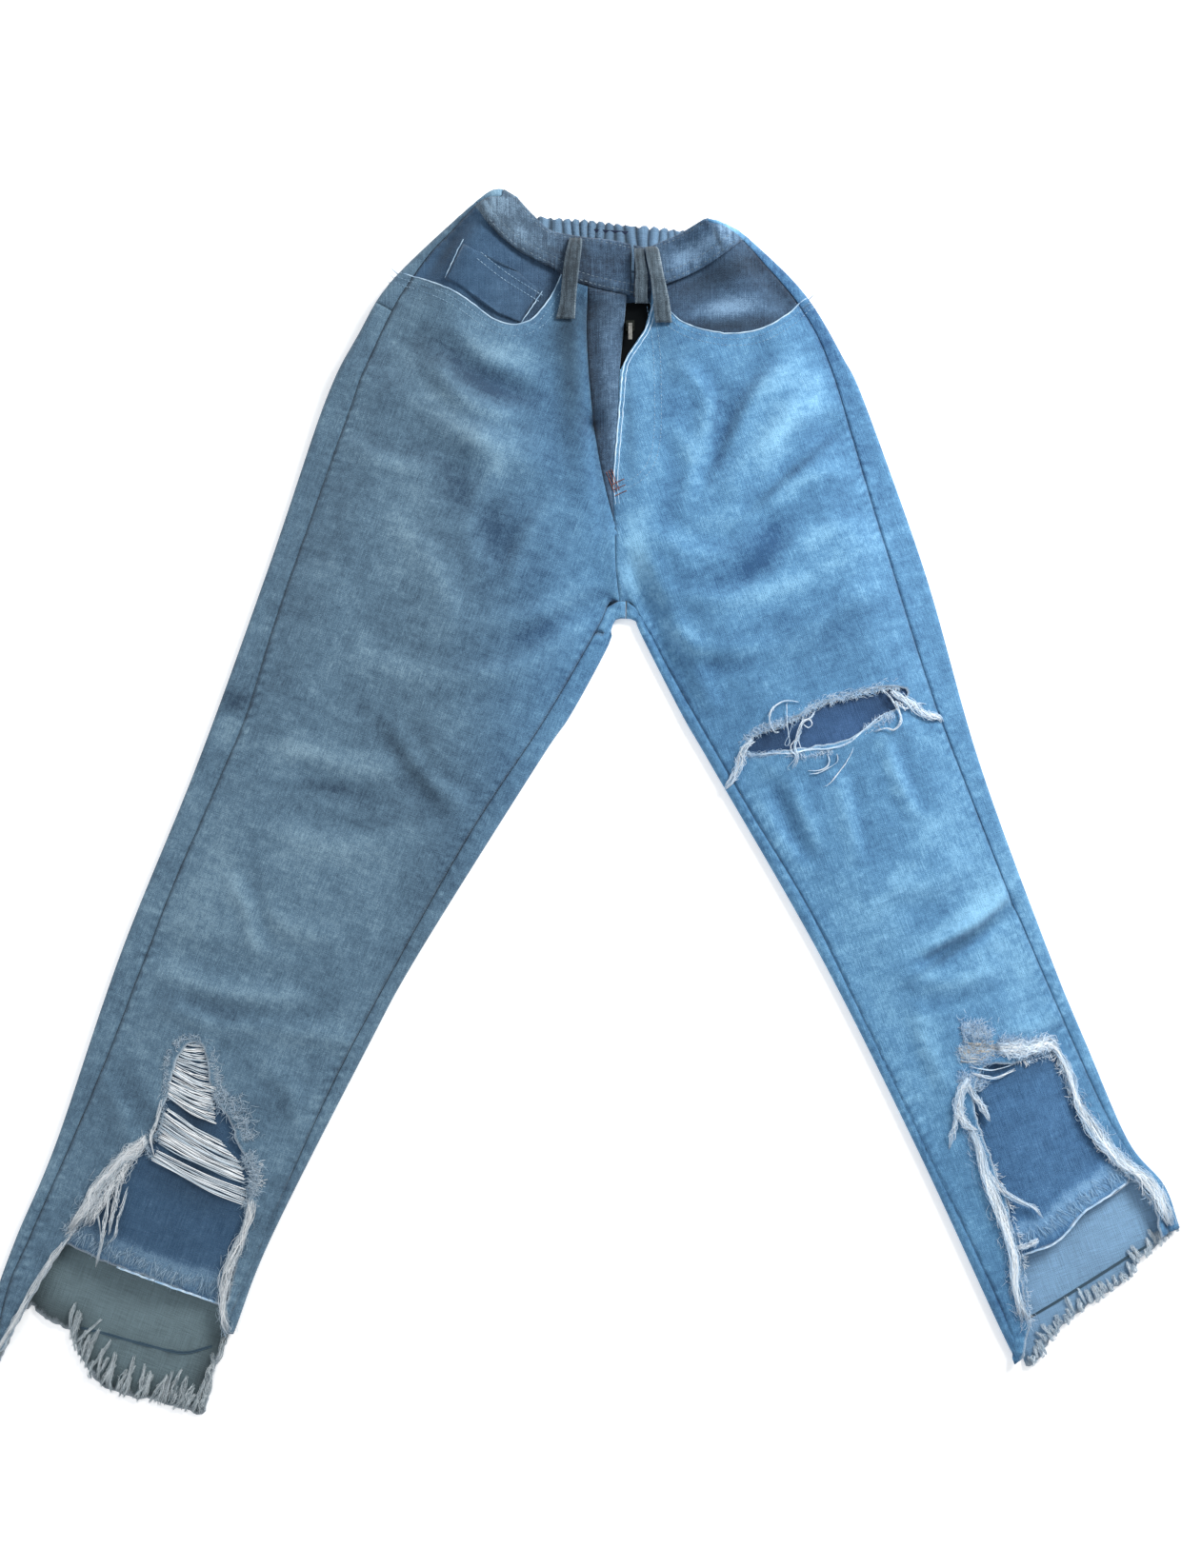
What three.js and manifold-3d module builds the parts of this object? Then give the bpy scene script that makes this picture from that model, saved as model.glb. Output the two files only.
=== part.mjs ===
// Ripped straight-leg jeans, laid out flat with the front up, legs apart.
// Millimetres, +Z up. The waist points to +Y and the hems to -Y; the back lies on the plane z = 0.
// "right" and "left" are the wearer's: the right leg lies towards -X.
//
// The garment is two layers. The back layer is one shell that lies on the ground, turns up round
// the folded sides and ends on top at the side seams and inside-leg seams. The front layer is a
// sheet that follows loft(x, y), the height of the cloth above the ground. Both are cut into their
// panels along the seam lines, with a seam gap between neighbours.

import * as THREE from "three";
import { mergeVertices } from "three/addons/utils/BufferGeometryUtils.js";
import Module from "manifold-3d";

const wasm = await Module();
wasm.setup();

// ---------------------------------------------------------------- driving dimensions
const DENIM = 1.5; // thickness of one layer of denim
const BAND = 3.0; // thickness of the doubled waistband
const BAND_PROUD = 1.6; // how far the band stands above the panels it holds
const SEAM_GAP = 0.3;
const HEM_CLEAR = 4; // the folds are trimmed this far past the end of each front seam
const FOLD_RADIUS = 6; // half width of the fold at the sides
const FOLD_REACH = 5; // how far a fold runs on along the ground, inside the back layer
const FOLD_LIFT = 0.12; // how far a fold stays off the ground, so that its skin isn't in the plane of the back
const STRIP_SPARE = 10; // a fold is made this much too wide, then trimmed at the seam
const LEG_EDGE_HEIGHT = 8; // height of the folded edge, legs and waist
const WAIST_EDGE_HEIGHT = 20;
const LEG_LOFT = 15; // height of the cloth in the middle of a leg, of the hips and of the waist
const HIP_LOFT = 23;
const WAIST_LOFT = 25;
const LOFT_REACH = 70; // distance from a folded edge over which the cloth gains its full height
const LEG_CELL = 45; // mesh cells of the upper side: along the legs, near the waist, and across
const WAIST_CELL = 16;
const ACROSS_CELL = 30;
const BAND_CELL = 15;
const CURVE_STEP = 52; // spacing of points along a long outline
const DETAIL_STEP = 12; // spacing of points along a small outline
const CUT_TOP = 200; // a height above everything
const ORIGIN = { x: -4, y: -2 }; // the middle of the garment's box in the drafting coordinates

// ---------------------------------------------------------------- outlines, seen from above
// Folded sides of the garment, from the waist (or the crotch) down to the hem.
const OUTER_RIGHT = [[-68, 491], [-84, 492], [-98, 486], [-123, 468], [-170, 421], [-194, 380], [-223, 319],
  [-268, 177], [-321, 18], [-379, -137], [-426, -288], [-455, -362], [-471, -413], [-477, -464]];
const OUTER_LEFT = [[97, 469], [118, 466], [133, 459], [167, 428], [189, 400], [211, 360], [230, 319],
  [277, 177], [318, 18], [370, -137], [399, -213], [429, -287], [456, -321], [467, -354]];
const INNER_RIGHT = [[29, 137], [21, 136], [17, 127], [15, 115], [-16, 57], [-42, 18], [-138, -137],
  [-179, -213], [-253, -362], [-281, -436]];
const INNER_LEFT = [[29, 137], [37, 135], [42, 123], [75, 57], [97, 18], [184, -137], [258, -288],
  [324, -435], [335, -455]];

// Seams on the upper side.
const OUTSEAM_RIGHT = [[-73, 482], [-93, 478], [-117, 460], [-139, 438], [-170, 387], [-203, 304], [-256, 144],
  [-280, 59], [-302, 3], [-342, -96], [-389, -228], [-440, -354], [-460, -405], [-469, -470]];
const OUTSEAM_LEFT = [[97, 461], [113, 458], [127, 451], [143, 436], [174, 400], [201, 345], [241, 203],
  [278, 76], [309, -11], [340, -95], [388, -213], [416, -276], [442, -317], [457, -357]];
const INSEAM_RIGHT = [[25, 151], [16, 150], [12, 142], [4, 125], [-39, 50], [-102, -48], [-187, -204],
  [-228, -291], [-286, -430], [-289, -440]];
const INSEAM_LEFT = [[25, 151], [34, 149], [42, 136], [52, 118], [87, 53], [130, -23], [178, -105],
  [225, -204], [273, -307], [304, -373], [328, -429], [332, -458]];
const CENTRE_FRONT = [[33, 404], [27, 370], [24, 341], [22, 296], [18, 251], [20, 208], [21, 176], [25, 145]];
const CENTRE_BACK = [[18, 500], [18, 440], [19, 340], [22, 240], [29, 160], [29, 120]];

// Waistband: where it is sewn to the front, and its upper edge.
const BAND_SEAM = [[-110, 494], [-93, 472], [-83, 459], [-57, 443], [-31, 430], [-14, 420], [28, 409], [40, 406],
  [56, 413], [83, 424], [108, 435], [122, 446], [134, 462]];
const BAND_TOP_RIGHT = [[-76, 494], [-66, 486], [-48, 474], [-33, 463], [-12, 461], [14, 458], [37, 451]];
const BAND_TOP_LEFT = [[37, 451], [48, 449], [64, 455], [85, 461], [97, 465], [112, 472]];
const BAND_CLOSURE = [[34, 470], [35, 444], [35, 420], [34, 395]];
const BAND_CLOSURE_GAP = 2.5;
const BACK_BAND_SEAM = [[-120, 506], [-97, 486], [-60, 452], [-20, 441], [18, 437], [60, 437], [105, 444],
  [134, 460], [150, 474]];
const BACK_BAND_TOP = [[-90, 500], [-70, 488], [-47, 485], [-15, 482], [16, 479], [50, 475], [75, 473], [95, 470],
  [115, 478]];
const YOKE_SEAM = [[-215, 418], [-178, 405], [-110, 388], [-40, 372], [18, 366], [70, 371], [130, 386],
  [186, 403], [225, 414]];

// Pocket openings in the front panels, from the side seam to the waistband.
const POCKET_EDGE_RIGHT = [[-170, 434], [-151, 426], [-138, 421], [-103, 402], [-79, 386], [-62, 382], [-47, 388],
  [-34, 405], [-26, 422], [-22, 440]];
const POCKET_EDGE_LEFT = [[54, 420], [58, 406], [66, 393], [83, 381], [115, 374], [143, 379], [164, 392],
  [176, 404], [190, 412]];
const FACING_UNDER = 13; // how far a pocket facing runs on under the panel
const COIN_POCKET = [[-105, 446], [-121, 419], [-76, 391], [-58, 384], [-43, 412], [-60, 427]];
const BACK_POCKET = [[-63, 72], [63, 72], [58, -50], [0, -72], [-58, -50]];
const BACK_POCKET_RIGHT = { x: -88, y: 285, turn: 0.05 };
const BACK_POCKET_LEFT = { x: 128, y: 285, turn: -0.05 };
const COIN_THICK = 1.2;
const PATCH_THICK = 1.2; // thickness of the denim behind the tears
const POCKET_PATCH = 1.3; // thickness of a back pocket, which lifts the back layer off the ground
// The back layer rises over both pockets at once: it is lifted in [x0, y0, x1, y1] and slopes down outside it.
const LIFTED = [-162, 204, 202, 372];
const LIFT_SLOPE = 28;

// Tears. Each leg has a window in its shin that runs out through the front hem, and the left knee a slash.
const WINDOW_RIGHT = [[-312, -208], [-328, -219], [-335, -250], [-347, -280], [-356, -297], [-370, -309],
  [-388, -333], [-410, -361], [-434, -398], [-457, -440], [-478, -474], [-470, -520], [-270, -520], [-287, -430],
  [-285, -408], [-280, -383], [-272, -343], [-266, -321], [-264, -308], [-278, -291], [-284, -271],
  [-300, -246], [-306, -218]];
const WINDOW_LEFT = [[319, -226], [338, -225], [358, -216], [374, -219], [387, -250], [401, -280], [419, -306],
  [434, -321], [446, -338], [450, -361], [470, -420], [370, -500], [338, -470], [342, -440], [344, -427],
  [339, -398], [333, -361], [328, -333], [321, -313], [314, -291], [307, -272], [303, -250], [307, -236]];
const SLASH = [[126, 22], [128, 33], [140, 42], [163, 51], [187, 64], [218, 73], [253, 78], [257, 70], [241, 55],
  [221, 42], [202, 33], [163, 26]];

// Ground plan of the raw back hems, which reach below the front.
const HEM_RIGHT = [[-455, -362], [-471, -413], [-477, -464], [-466, -458], [-445, -416], [-432, -424],
  [-411, -434], [-401, -455], [-381, -477], [-340, -488], [-305, -496], [-300, -472], [-291, -452], [-281, -435],
  [-262, -385], [-300, -372], [-420, -340]];
const HEM_LEFT = [[431, -291], [456, -321], [469, -352], [445, -372], [434, -379], [425, -394], [406, -405],
  [396, -413], [375, -427], [356, -437], [349, -448], [338, -457], [324, -435], [300, -380], [330, -340],
  [410, -295]];

// Darker denim backing the tears from the inside.
const SHIN_PATCH_RIGHT = [[-318, -196], [-340, -210], [-352, -262], [-378, -300], [-421, -352], [-414, -364],
  [-387, -377], [-361, -386], [-330, -397], [-284, -414], [-272, -390], [-256, -320], [-258, -300],
  [-280, -262], [-294, -210]];
const SHIN_PATCH_LEFT = [[296, -232], [314, -213], [376, -206], [394, -240], [408, -270], [426, -302],
  [427, -318], [408, -330], [389, -341], [378, -353], [365, -365], [350, -371], [331, -377], [318, -345],
  [306, -300], [296, -262]];
const KNEE_PATCH = [[112, 12], [114, 44], [180, 78], [262, 94], [270, 62], [230, 30], [170, 8]];

// Fly and zip.
const FLY_GAP = [[31, 420], [27, 376], [24, 345], [25, 343], [31, 357], [45, 378], [50, 396], [51, 420]];
const PLACKET_SEAM = [[-2, 425], [-3, 380], [-1, 340], [4, 290], [12, 245], [22, 205]];
const ZIP_TAPE = [[12, 402], [12, 300], [50, 300], [60, 402]];
const ZIP_TAPE_THICK = 1;
const ZIP_SLIDER = { x: 33, y: 381, wide: 7, long: 9, thick: 2.2, ear: 1, earGap: 4, earHigh: 2.2 };
const ZIP_PULL = { wide: 3.2, long: 12, thick: 1, pinRadius: 0.5, holeRadius: 0.85, eyeRadius: 1.5 };
const LABEL = [[4, 474], [4, 459], [36, 457], [36, 471]];
const LABEL_THICK = 0.8;

// Belt loops: points of the middle line as x, y and height above the cloth.
const LOOP_WIDTH = 10;
const LOOP_THICK = 2;
const LOOP_RIGHT = [[-13, 457, 4.2], [-13, 450, 7], [-16, 425, 8.5], [-19, 400, 6], [-21, 386, 2.6]];
const LOOP_LEFT = [[50, 447, 4.4], [52, 440, 8], [55, 420, 9.5], [58, 400, 7], [61, 382, 2.6]];
const LOOP_LEFT_INNER = [[41, 446, 4.4], [41, 438, 7], [42, 424, 8], [42, 410, 6], [43, 399, 2.6]]; // its twisted half

// Largest folds of the cloth: a line from (x1, y1) to (x2, y2), the height at each end (below zero for a
// trough) and the half width.
const FOLDS = [
  [-80, 486, -124, 392, 27, 3, 23], // where the waistband turns at the right side
  [99, 464, 146, 396, 23, 3, 23], // and at the left side
  [4, 470, 12, 380, -9, -4, 34], // the sunken middle of the front
  [-3, 400, 2, 300, -7, -7, 9], // furrow beside the fly
  [2, 300, 18, 215, -7, -3, 9],
  [-200, 345, -90, 282, 3, 5, 17], // thigh, right
  [-90, 282, -42, 262, 5, 3, 17],
  [-135, 372, -66, 330, -4, -4, 17],
  [-150, 312, -72, 195, -3, -4, 20],
  [-150, 20, -125, -25, -3, -3, 13],
  [-345, -133, -220, -168, -3, -3, 15], // shin, right
  [-335, -182, -196, -207, 2, 3, 9],
  [141, 358, 95, 255, -4, -3, 13], // thigh, left
  [200, 294, 133, 232, -4, -4, 13],
  [183, 330, 120, 245, 4, 4, 15],
  [143, 218, 88, 186, -3, -3, 15],
  [220, 198, 90, 112, 2, 4, 14],
  [36, 178, 80, 70, -4, -3, 9], // from the crotch down the left inside leg
  [52, 176, 98, 66, 3, 3, 9],
  [150, 12, 250, 46, 3, 3, 12], // lower lip of the slash
  [335, -98, 268, -143, -3, -3, 8],
];

// ---------------------------------------------------------------- curves
const smooth = (t) => {
  const s = Math.min(1, Math.max(0, t));
  return s * s * (3 - 2 * s);
};

/** A smooth open line through points, as [x, y] pairs about `step` apart. */
function lineThrough(points, step = CURVE_STEP) {
  const curve = new THREE.CatmullRomCurve3(points.map(([x, y]) => new THREE.Vector3(x, y, 0)), false, "catmullrom");
  const out = [];
  for (let i = 0; i < points.length - 1; i++) {
    const [a, b] = [points[i], points[i + 1]];
    const pieces = Math.max(1, Math.round(Math.hypot(b[0] - a[0], b[1] - a[1]) / step));
    for (let k = 0; k < pieces; k++) {
      const p = curve.getPoint((i + k / pieces) / (points.length - 1));
      out.push([p.x, p.y]);
    }
  }
  out.push(points.at(-1));
  return out;
}

/** A smooth closed outline through points. */
const closed = (points) => lineThrough([...points, points[0]], DETAIL_STEP * 2).slice(0, -1);

/** The unit normal on the left of a line at point i. */
function leftNormal(line, i) {
  const a = line[Math.max(0, i - 1)];
  const b = line[Math.min(line.length - 1, i + 1)];
  const length = Math.hypot(b[0] - a[0], b[1] - a[1]);
  return [-(b[1] - a[1]) / length, (b[0] - a[0]) / length];
}

/** A line moved sideways, to its left if the distance is above zero. */
const moved = (line, distance) =>
  line.map(([x, y], i) => {
    const [nx, ny] = leftNormal(line, i);
    return [x + nx * distance, y + ny * distance];
  });

/** A line carried on past its last point. */
function lengthened(line, distance) {
  const [a, b] = [line.at(-2), line.at(-1)];
  const share = distance / Math.hypot(b[0] - a[0], b[1] - a[1]);
  return [...line, [b[0] + (b[0] - a[0]) * share, b[1] + (b[1] - a[1]) * share]];
}

const lines = {
  outerRight: lineThrough(OUTER_RIGHT),
  outerLeft: lineThrough(OUTER_LEFT),
  innerRight: lineThrough(INNER_RIGHT),
  innerLeft: lineThrough(INNER_LEFT),
  outseamRight: lineThrough(OUTSEAM_RIGHT),
  outseamLeft: lineThrough(OUTSEAM_LEFT),
  inseamRight: lineThrough(INSEAM_RIGHT),
  inseamLeft: lineThrough(INSEAM_LEFT),
  centreFront: lineThrough(CENTRE_FRONT),
  bandSeam: lineThrough(BAND_SEAM, DETAIL_STEP),
  bandTop: [...lineThrough(BAND_TOP_RIGHT, DETAIL_STEP), ...lineThrough(BAND_TOP_LEFT, DETAIL_STEP).slice(1)],
  backBandTop: lineThrough(BACK_BAND_TOP, DETAIL_STEP),
};
const EDGES = [lines.outerRight, lines.outerLeft, lines.innerRight, lines.innerLeft];

// ---------------------------------------------------------------- the height of the cloth
function distanceToSegment(x, y, [ax, ay], [bx, by]) {
  const [dx, dy] = [bx - ax, by - ay];
  const t = Math.min(1, Math.max(0, ((x - ax) * dx + (y - ay) * dy) / (dx * dx + dy * dy)));
  return Math.hypot(x - ax - t * dx, y - ay - t * dy);
}

function distanceToEdge(x, y) {
  let least = Infinity;
  for (const line of EDGES)
    for (let i = 1; i < line.length; i++) least = Math.min(least, distanceToSegment(x, y, line[i - 1], line[i]));
  return least;
}

function foldHeight([x1, y1, x2, y2, h1, h2, width], x, y) {
  const [dx, dy] = [x2 - x1, y2 - y1];
  const t = Math.min(1, Math.max(0, ((x - x1) * dx + (y - y1) * dy) / (dx * dx + dy * dy)));
  const off = Math.hypot(x - x1 - t * dx, y - y1 - t * dy) / width;
  return (h1 + (h2 - h1) * t) * Math.exp(-off * off);
}

const edgeHeight = (y) => LEG_EDGE_HEIGHT + (WAIST_EDGE_HEIGHT - LEG_EDGE_HEIGHT) * smooth((y - 220) / 250);

/** Height of the upper face of the front layer above the ground. */
function loft(x, y) {
  const full = LEG_LOFT + (HIP_LOFT - LEG_LOFT) * smooth((y + 60) / 260) + (WAIST_LOFT - HIP_LOFT) * smooth((y - 330) / 120);
  const low = edgeHeight(y);
  const base = low + (full - low) * smooth(distanceToEdge(x, y) / LOFT_REACH);
  return FOLDS.reduce((z, fold) => z + foldHeight(fold, x, y), base);
}

// ---------------------------------------------------------------- solids
/** A closed three.js geometry as a solid, turned to face out. */
function solid(geometry) {
  geometry.deleteAttribute("normal");
  geometry.deleteAttribute("uv");
  const merged = mergeVertices(geometry, 1e-4);
  const make = (triVerts) =>
    new wasm.Manifold(new wasm.Mesh({ numProp: 3, vertProperties: merged.attributes.position.array, triVerts }));
  const faces = new Uint32Array(merged.index.array);
  const made = make(faces);
  return made.volume() > 0 ? made : make(faces.reverse());
}

/** An upright prism over a closed outline of [x, y] points. */
function prism(outline, low = -5, high = CUT_TOP) {
  const shape = new THREE.Shape(outline.map(([x, y]) => new THREE.Vector2(x, y)));
  return solid(new THREE.ExtrudeGeometry(shape, { depth: high - low, bevelEnabled: false }).translate(0, 0, low));
}

/** A thin cutter along a line, as wide as the seam gap. */
const knife = (line, low = -5, width = SEAM_GAP) =>
  prism([...moved(line, width / 2), ...moved(line, -width / 2).reverse()], low);

/** A cloth wall whose outer skin is a grid of points, `depth` behind it. The other skin lies `thick` further on. */
function wall(grid, thick, depth = 0) {
  const [rows, columns] = [grid.length - 1, grid[0].length - 1];
  const clampTo = (v, top) => Math.min(top, Math.max(0, v));
  const normal = (i, j) => {
    const along = grid[clampTo(i + 1, rows)][j].clone().sub(grid[clampTo(i - 1, rows)][j]);
    const across = grid[i][clampTo(j + 1, columns)].clone().sub(grid[i][clampTo(j - 1, columns)]);
    return along.cross(across).normalize();
  };
  const skin = (shift) =>
    grid.flatMap((row, i) => row.flatMap((p, j) => p.clone().addScaledVector(normal(i, j), -shift).toArray()));
  const id = (side, i, j) => (side * (rows + 1) + i) * (columns + 1) + j;
  const quad = (a, b, c, d) => [a, b, c, a, c, d];
  const faces = [];
  for (let i = 0; i < rows; i++)
    for (let j = 0; j < columns; j++)
      for (const side of [0, 1]) {
        const corners = [id(side, i, j), id(side, i + 1, j), id(side, i + 1, j + 1), id(side, i, j + 1)];
        const made = quad(...corners);
        faces.push(...(side ? made.reverse() : made));
      }
  const rim = [
    ...Array.from({ length: rows }, (_, i) => [i, 0]),
    ...Array.from({ length: columns }, (_, j) => [rows, j]),
    ...Array.from({ length: rows }, (_, i) => [rows - i, columns]),
    ...Array.from({ length: columns }, (_, j) => [0, columns - j]),
  ];
  rim.forEach(([i, j], n) => {
    const [k, l] = rim[(n + 1) % rim.length];
    faces.push(...quad(id(1, i, j), id(1, k, l), id(0, k, l), id(0, i, j)));
  });
  const geometry = new THREE.BufferGeometry();
  geometry.setAttribute("position", new THREE.Float32BufferAttribute([...skin(depth), ...skin(depth + thick)], 3));
  geometry.setIndex(faces);
  return solid(geometry);
}

/** Numbers from `a` to `b`, about `cell` apart. */
function spaced(a, b, cell) {
  const pieces = Math.ceil((b - a) / cell);
  return Array.from({ length: pieces + 1 }, (_, i) => a + ((b - a) * i) / pieces);
}

const heightGrid = (xs, ys, heightAt) => xs.map((x) => ys.map((y) => new THREE.Vector3(x, y, heightAt(x, y))));

/** A sheet over a rectangle whose upper face has the height heightAt(x, y). */
const sheet = ([x0, y0, x1, y1], cell, heightAt, thick) =>
  wall(heightGrid(spaced(x0, x1, cell), spaced(y0, y1, cell), heightAt), thick);

/** The box round an outline, with a margin. */
function around(outline, margin = 4) {
  const [xs, ys] = [outline.map((p) => p[0]), outline.map((p) => p[1])];
  return [Math.min(...xs) - margin, Math.min(...ys) - margin, Math.max(...xs) + margin, Math.max(...ys) + margin];
}

/** A flat-cut piece of cloth of that outline lying at heightAt. */
const cutSheet = (outline, cell, heightAt, thick) =>
  sheet(around(outline), cell, heightAt, thick).intersect(prism(outline));

/** Distance from (x, y) along (nx, ny) to a line, or -1 where it doesn't meet it. */
function reachTo([x, y], [nx, ny], line) {
  let best = -1;
  for (let i = 1; i < line.length; i++) {
    const [[ax, ay], [bx, by]] = [line[i - 1], line[i]];
    const det = (bx - ax) * ny - (by - ay) * nx;
    if (Math.abs(det) < 1e-9) continue;
    const along = ((x - ax) * ny - (y - ay) * nx) / det;
    const t = ((by - ay) * (x - ax) - (bx - ax) * (y - ay)) / det;
    if (along >= 0 && along <= 1 && t > 0 && (best < 0 || t < best)) best = t;
  }
  return best;
}

/** The folded side of the back layer along an outline: from the ground, round the fold, to just past the seam. */
function foldedSide(outline, seam, inward) {
  let width = FOLD_RADIUS + STRIP_SPARE;
  const grid = outline.map(([x, y], i) => {
    const [lx, ly] = leftNormal(outline, i);
    const [nx, ny] = [lx * inward, ly * inward];
    const found = reachTo([x, y], [nx, ny], seam);
    if (found > 0 && found < 60) width = Math.max(found, FOLD_RADIUS + 1) + STRIP_SPARE;
    const point = (d, z) => new THREE.Vector3(x + nx * d, y + ny * d, z);
    const heightAt = (d) => loft(x + nx * d, y + ny * d);
    const middle = edgeHeight(y) / 2;
    const top = heightAt(FOLD_RADIUS);
    const half = Math.SQRT1_2;
    return [
      point(FOLD_RADIUS + FOLD_REACH, FOLD_LIFT),
      point(FOLD_RADIUS, FOLD_LIFT),
      point(FOLD_RADIUS * (1 - half), middle * (1 - half)),
      point(0, middle),
      point(FOLD_RADIUS * (1 - half), middle + (top - middle) * half),
      point(FOLD_RADIUS, top),
      point((FOLD_RADIUS + width) / 2, heightAt((FOLD_RADIUS + width) / 2)),
      point(width, heightAt(width)),
    ];
  });
  return wall(inward > 0 ? grid : grid.reverse(), DENIM);
}

/** The one body of a cut solid that lies over the point (x, y), nearest the top. */
function bodyAt(pieces, x, y) {
  const probe = prism([[x - 1, y - 1], [x + 1, y - 1], [x + 1, y + 1], [x - 1, y + 1]]);
  return pieces.find((piece) => piece.intersect(probe).volume() > 0);
}

// ---------------------------------------------------------------- the back layer
function backLayer() {
  const inset = (line, side) => moved(line, side * (FOLD_RADIUS - 1));
  const rightGround = [...inset(lines.outerRight, 1), ...inset(lines.innerRight, -1).reverse(), [31, 160]];
  const leftGround = [...inset(lines.outerLeft, -1), ...inset(lines.innerLeft, 1).reverse(), [27, 160]];
  const plan = [
    prism([...rightGround, [31, 484]]),
    prism([...leftGround, [27, 484]]),
    prism(HEM_RIGHT),
    prism(HEM_LEFT),
  ].reduce((a, b) => a.add(b));
  const [x0, y0, x1, y1] = LIFTED;
  const lifted = (x, y) => (x >= x0 && x <= x1 && y >= y0 && y <= y1 ? POCKET_PATCH + SEAM_GAP : 0);
  const ground = wall(
    heightGrid(
      [-485, x0 - LIFT_SLOPE, x0, x1, x1 + LIFT_SLOPE, 485],
      [-505, y0 - LIFT_SLOPE, y0, y1, y1 + LIFT_SLOPE, 505],
      (x, y) => DENIM + lifted(x, y),
    ),
    DENIM,
  ).intersect(plan);
  const front = prism(frontOutline(SEAM_GAP), 5);
  const folds = [
    foldedSide(lines.outerRight, lines.outseamRight, 1),
    foldedSide(lines.outerLeft, lines.outseamLeft, -1),
    foldedSide(lines.innerRight, lines.inseamRight, -1),
    foldedSide(lines.innerLeft, lines.inseamLeft, 1),
  ].reduce((a, b) => a.add(b));
  const aboveBand = prism([...lines.backBandTop, [130, 560], [-120, 560]]);
  const shell = ground.add(folds.subtract(front)).subtract(aboveBand);
  const cut = shell
    .subtract(knife(lineThrough(BACK_BAND_SEAM, DETAIL_STEP)))
    .subtract(knife(lineThrough(YOKE_SEAM)))
    .subtract(prism([...moved(lineThrough(CENTRE_BACK), 0.15), ...moved(lineThrough(CENTRE_BACK), -0.15).reverse()])
      .subtract(prism([...lineThrough(BACK_BAND_SEAM, DETAIL_STEP), [150, 560], [-120, 560]])));
  return cut.decompose();
}

// ---------------------------------------------------------------- the front layer
/** Outline of everything on the upper side between the seams, below the waistband's upper edge. */
function frontOutline(grow = 0) {
  const side = (line, way) => moved(grow ? lengthened(line, HEM_CLEAR) : line, way * grow);
  return [
    ...side(lines.outseamRight, -1),
    ...side(lines.inseamRight, 1).reverse(),
    ...side(lines.inseamLeft, -1),
    ...side(lines.outseamLeft, 1).reverse(),
    [97, 560],
    [-73, 560],
  ];
}

const belowBand = () => prism([...moved(lines.bandSeam, -SEAM_GAP / 2), [500, 470], [500, -560], [-500, -560], [-500, 500]]);

// Everything on the upper side is made from the points of one grid, so that layers follow each other.
const WAIST_LINE = 370;
const upperGrid = heightGrid(
  spaced(-485, 485, ACROSS_CELL),
  [...spaced(-475, WAIST_LINE, LEG_CELL), ...spaced(WAIST_LINE, 500, WAIST_CELL).slice(1)],
  loft,
);
const layer = (outline, depth, thick) => wall(upperGrid, thick, depth).intersect(prism(outline));
const UNDER_PANEL = DENIM + SEAM_GAP;

function frontLayer() {
  return wall(upperGrid, DENIM)
    .intersect(prism(frontOutline()))
    .intersect(belowBand())
    .subtract(prism(closed(WINDOW_RIGHT)))
    .subtract(prism(closed(WINDOW_LEFT)))
    .subtract(prism(SLASH))
    .subtract(prism([...lineThrough(POCKET_EDGE_RIGHT, DETAIL_STEP), [-60, 520], [-170, 520]]))
    .subtract(prism([...lineThrough(POCKET_EDGE_LEFT, DETAIL_STEP), [190, 500], [54, 500]]))
    .subtract(prism(FLY_GAP))
    .subtract(knife(lines.centreFront))
    .subtract(knife(lineThrough(PLACKET_SEAM)))
    .decompose();
}

/** Both front halves of the waistband. */
function frontBand() {
  const outline = [...lines.bandTop, ...moved(lines.bandSeam, SEAM_GAP / 2).reverse()];
  return cutSheet(outline, BAND_CELL, (x, y) => loft(x, y) + BAND_PROUD, BAND)
    .intersect(prism(frontOutline()))
    .subtract(knife(lineThrough(BAND_CLOSURE), -5, BAND_CLOSURE_GAP))
    .decompose();
}

/** The denim that shows inside a pocket opening. */
function pocketFacing(edge, top) {
  const opening = lineThrough(edge, DETAIL_STEP);
  const under = moved(opening, -FACING_UNDER);
  return layer([...under, ...top], UNDER_PANEL + COIN_THICK + SEAM_GAP, DENIM)
    .intersect(prism(frontOutline()))
    .intersect(belowBand());
}

/** A patch of darker denim under a tear. */
const backing = (outline) => layer(closed(outline), UNDER_PANEL, PATCH_THICK);

/** A back pocket, on the ground under the back layer. */
function backPocket({ x, y, turn }) {
  const shape = new THREE.Shape(BACK_POCKET.map(([px, py]) => new THREE.Vector2(px, py)));
  const patch = new THREE.ExtrudeGeometry(shape, { depth: POCKET_PATCH, bevelEnabled: false });
  return solid(patch.rotateZ(turn).translate(x, y, 0));
}

/** A belt loop: a strap that stands off the band between its two sewn ends. */
function beltLoop(points, width = LOOP_WIDTH) {
  const curve = new THREE.CatmullRomCurve3(points.map(([x, y, up]) => new THREE.Vector3(x, y, loft(x, y) + up)));
  const grid = curve.getPoints(8).map((p) => {
    return [-1, 1].map((side) => new THREE.Vector3(p.x + (side * width) / 2, p.y, p.z));
  });
  return wall(grid.reverse(), LOOP_THICK);
}

// ---------------------------------------------------------------- zip
const zipHeight = (x, y) => loft(x, y) - DENIM - 1;

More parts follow.
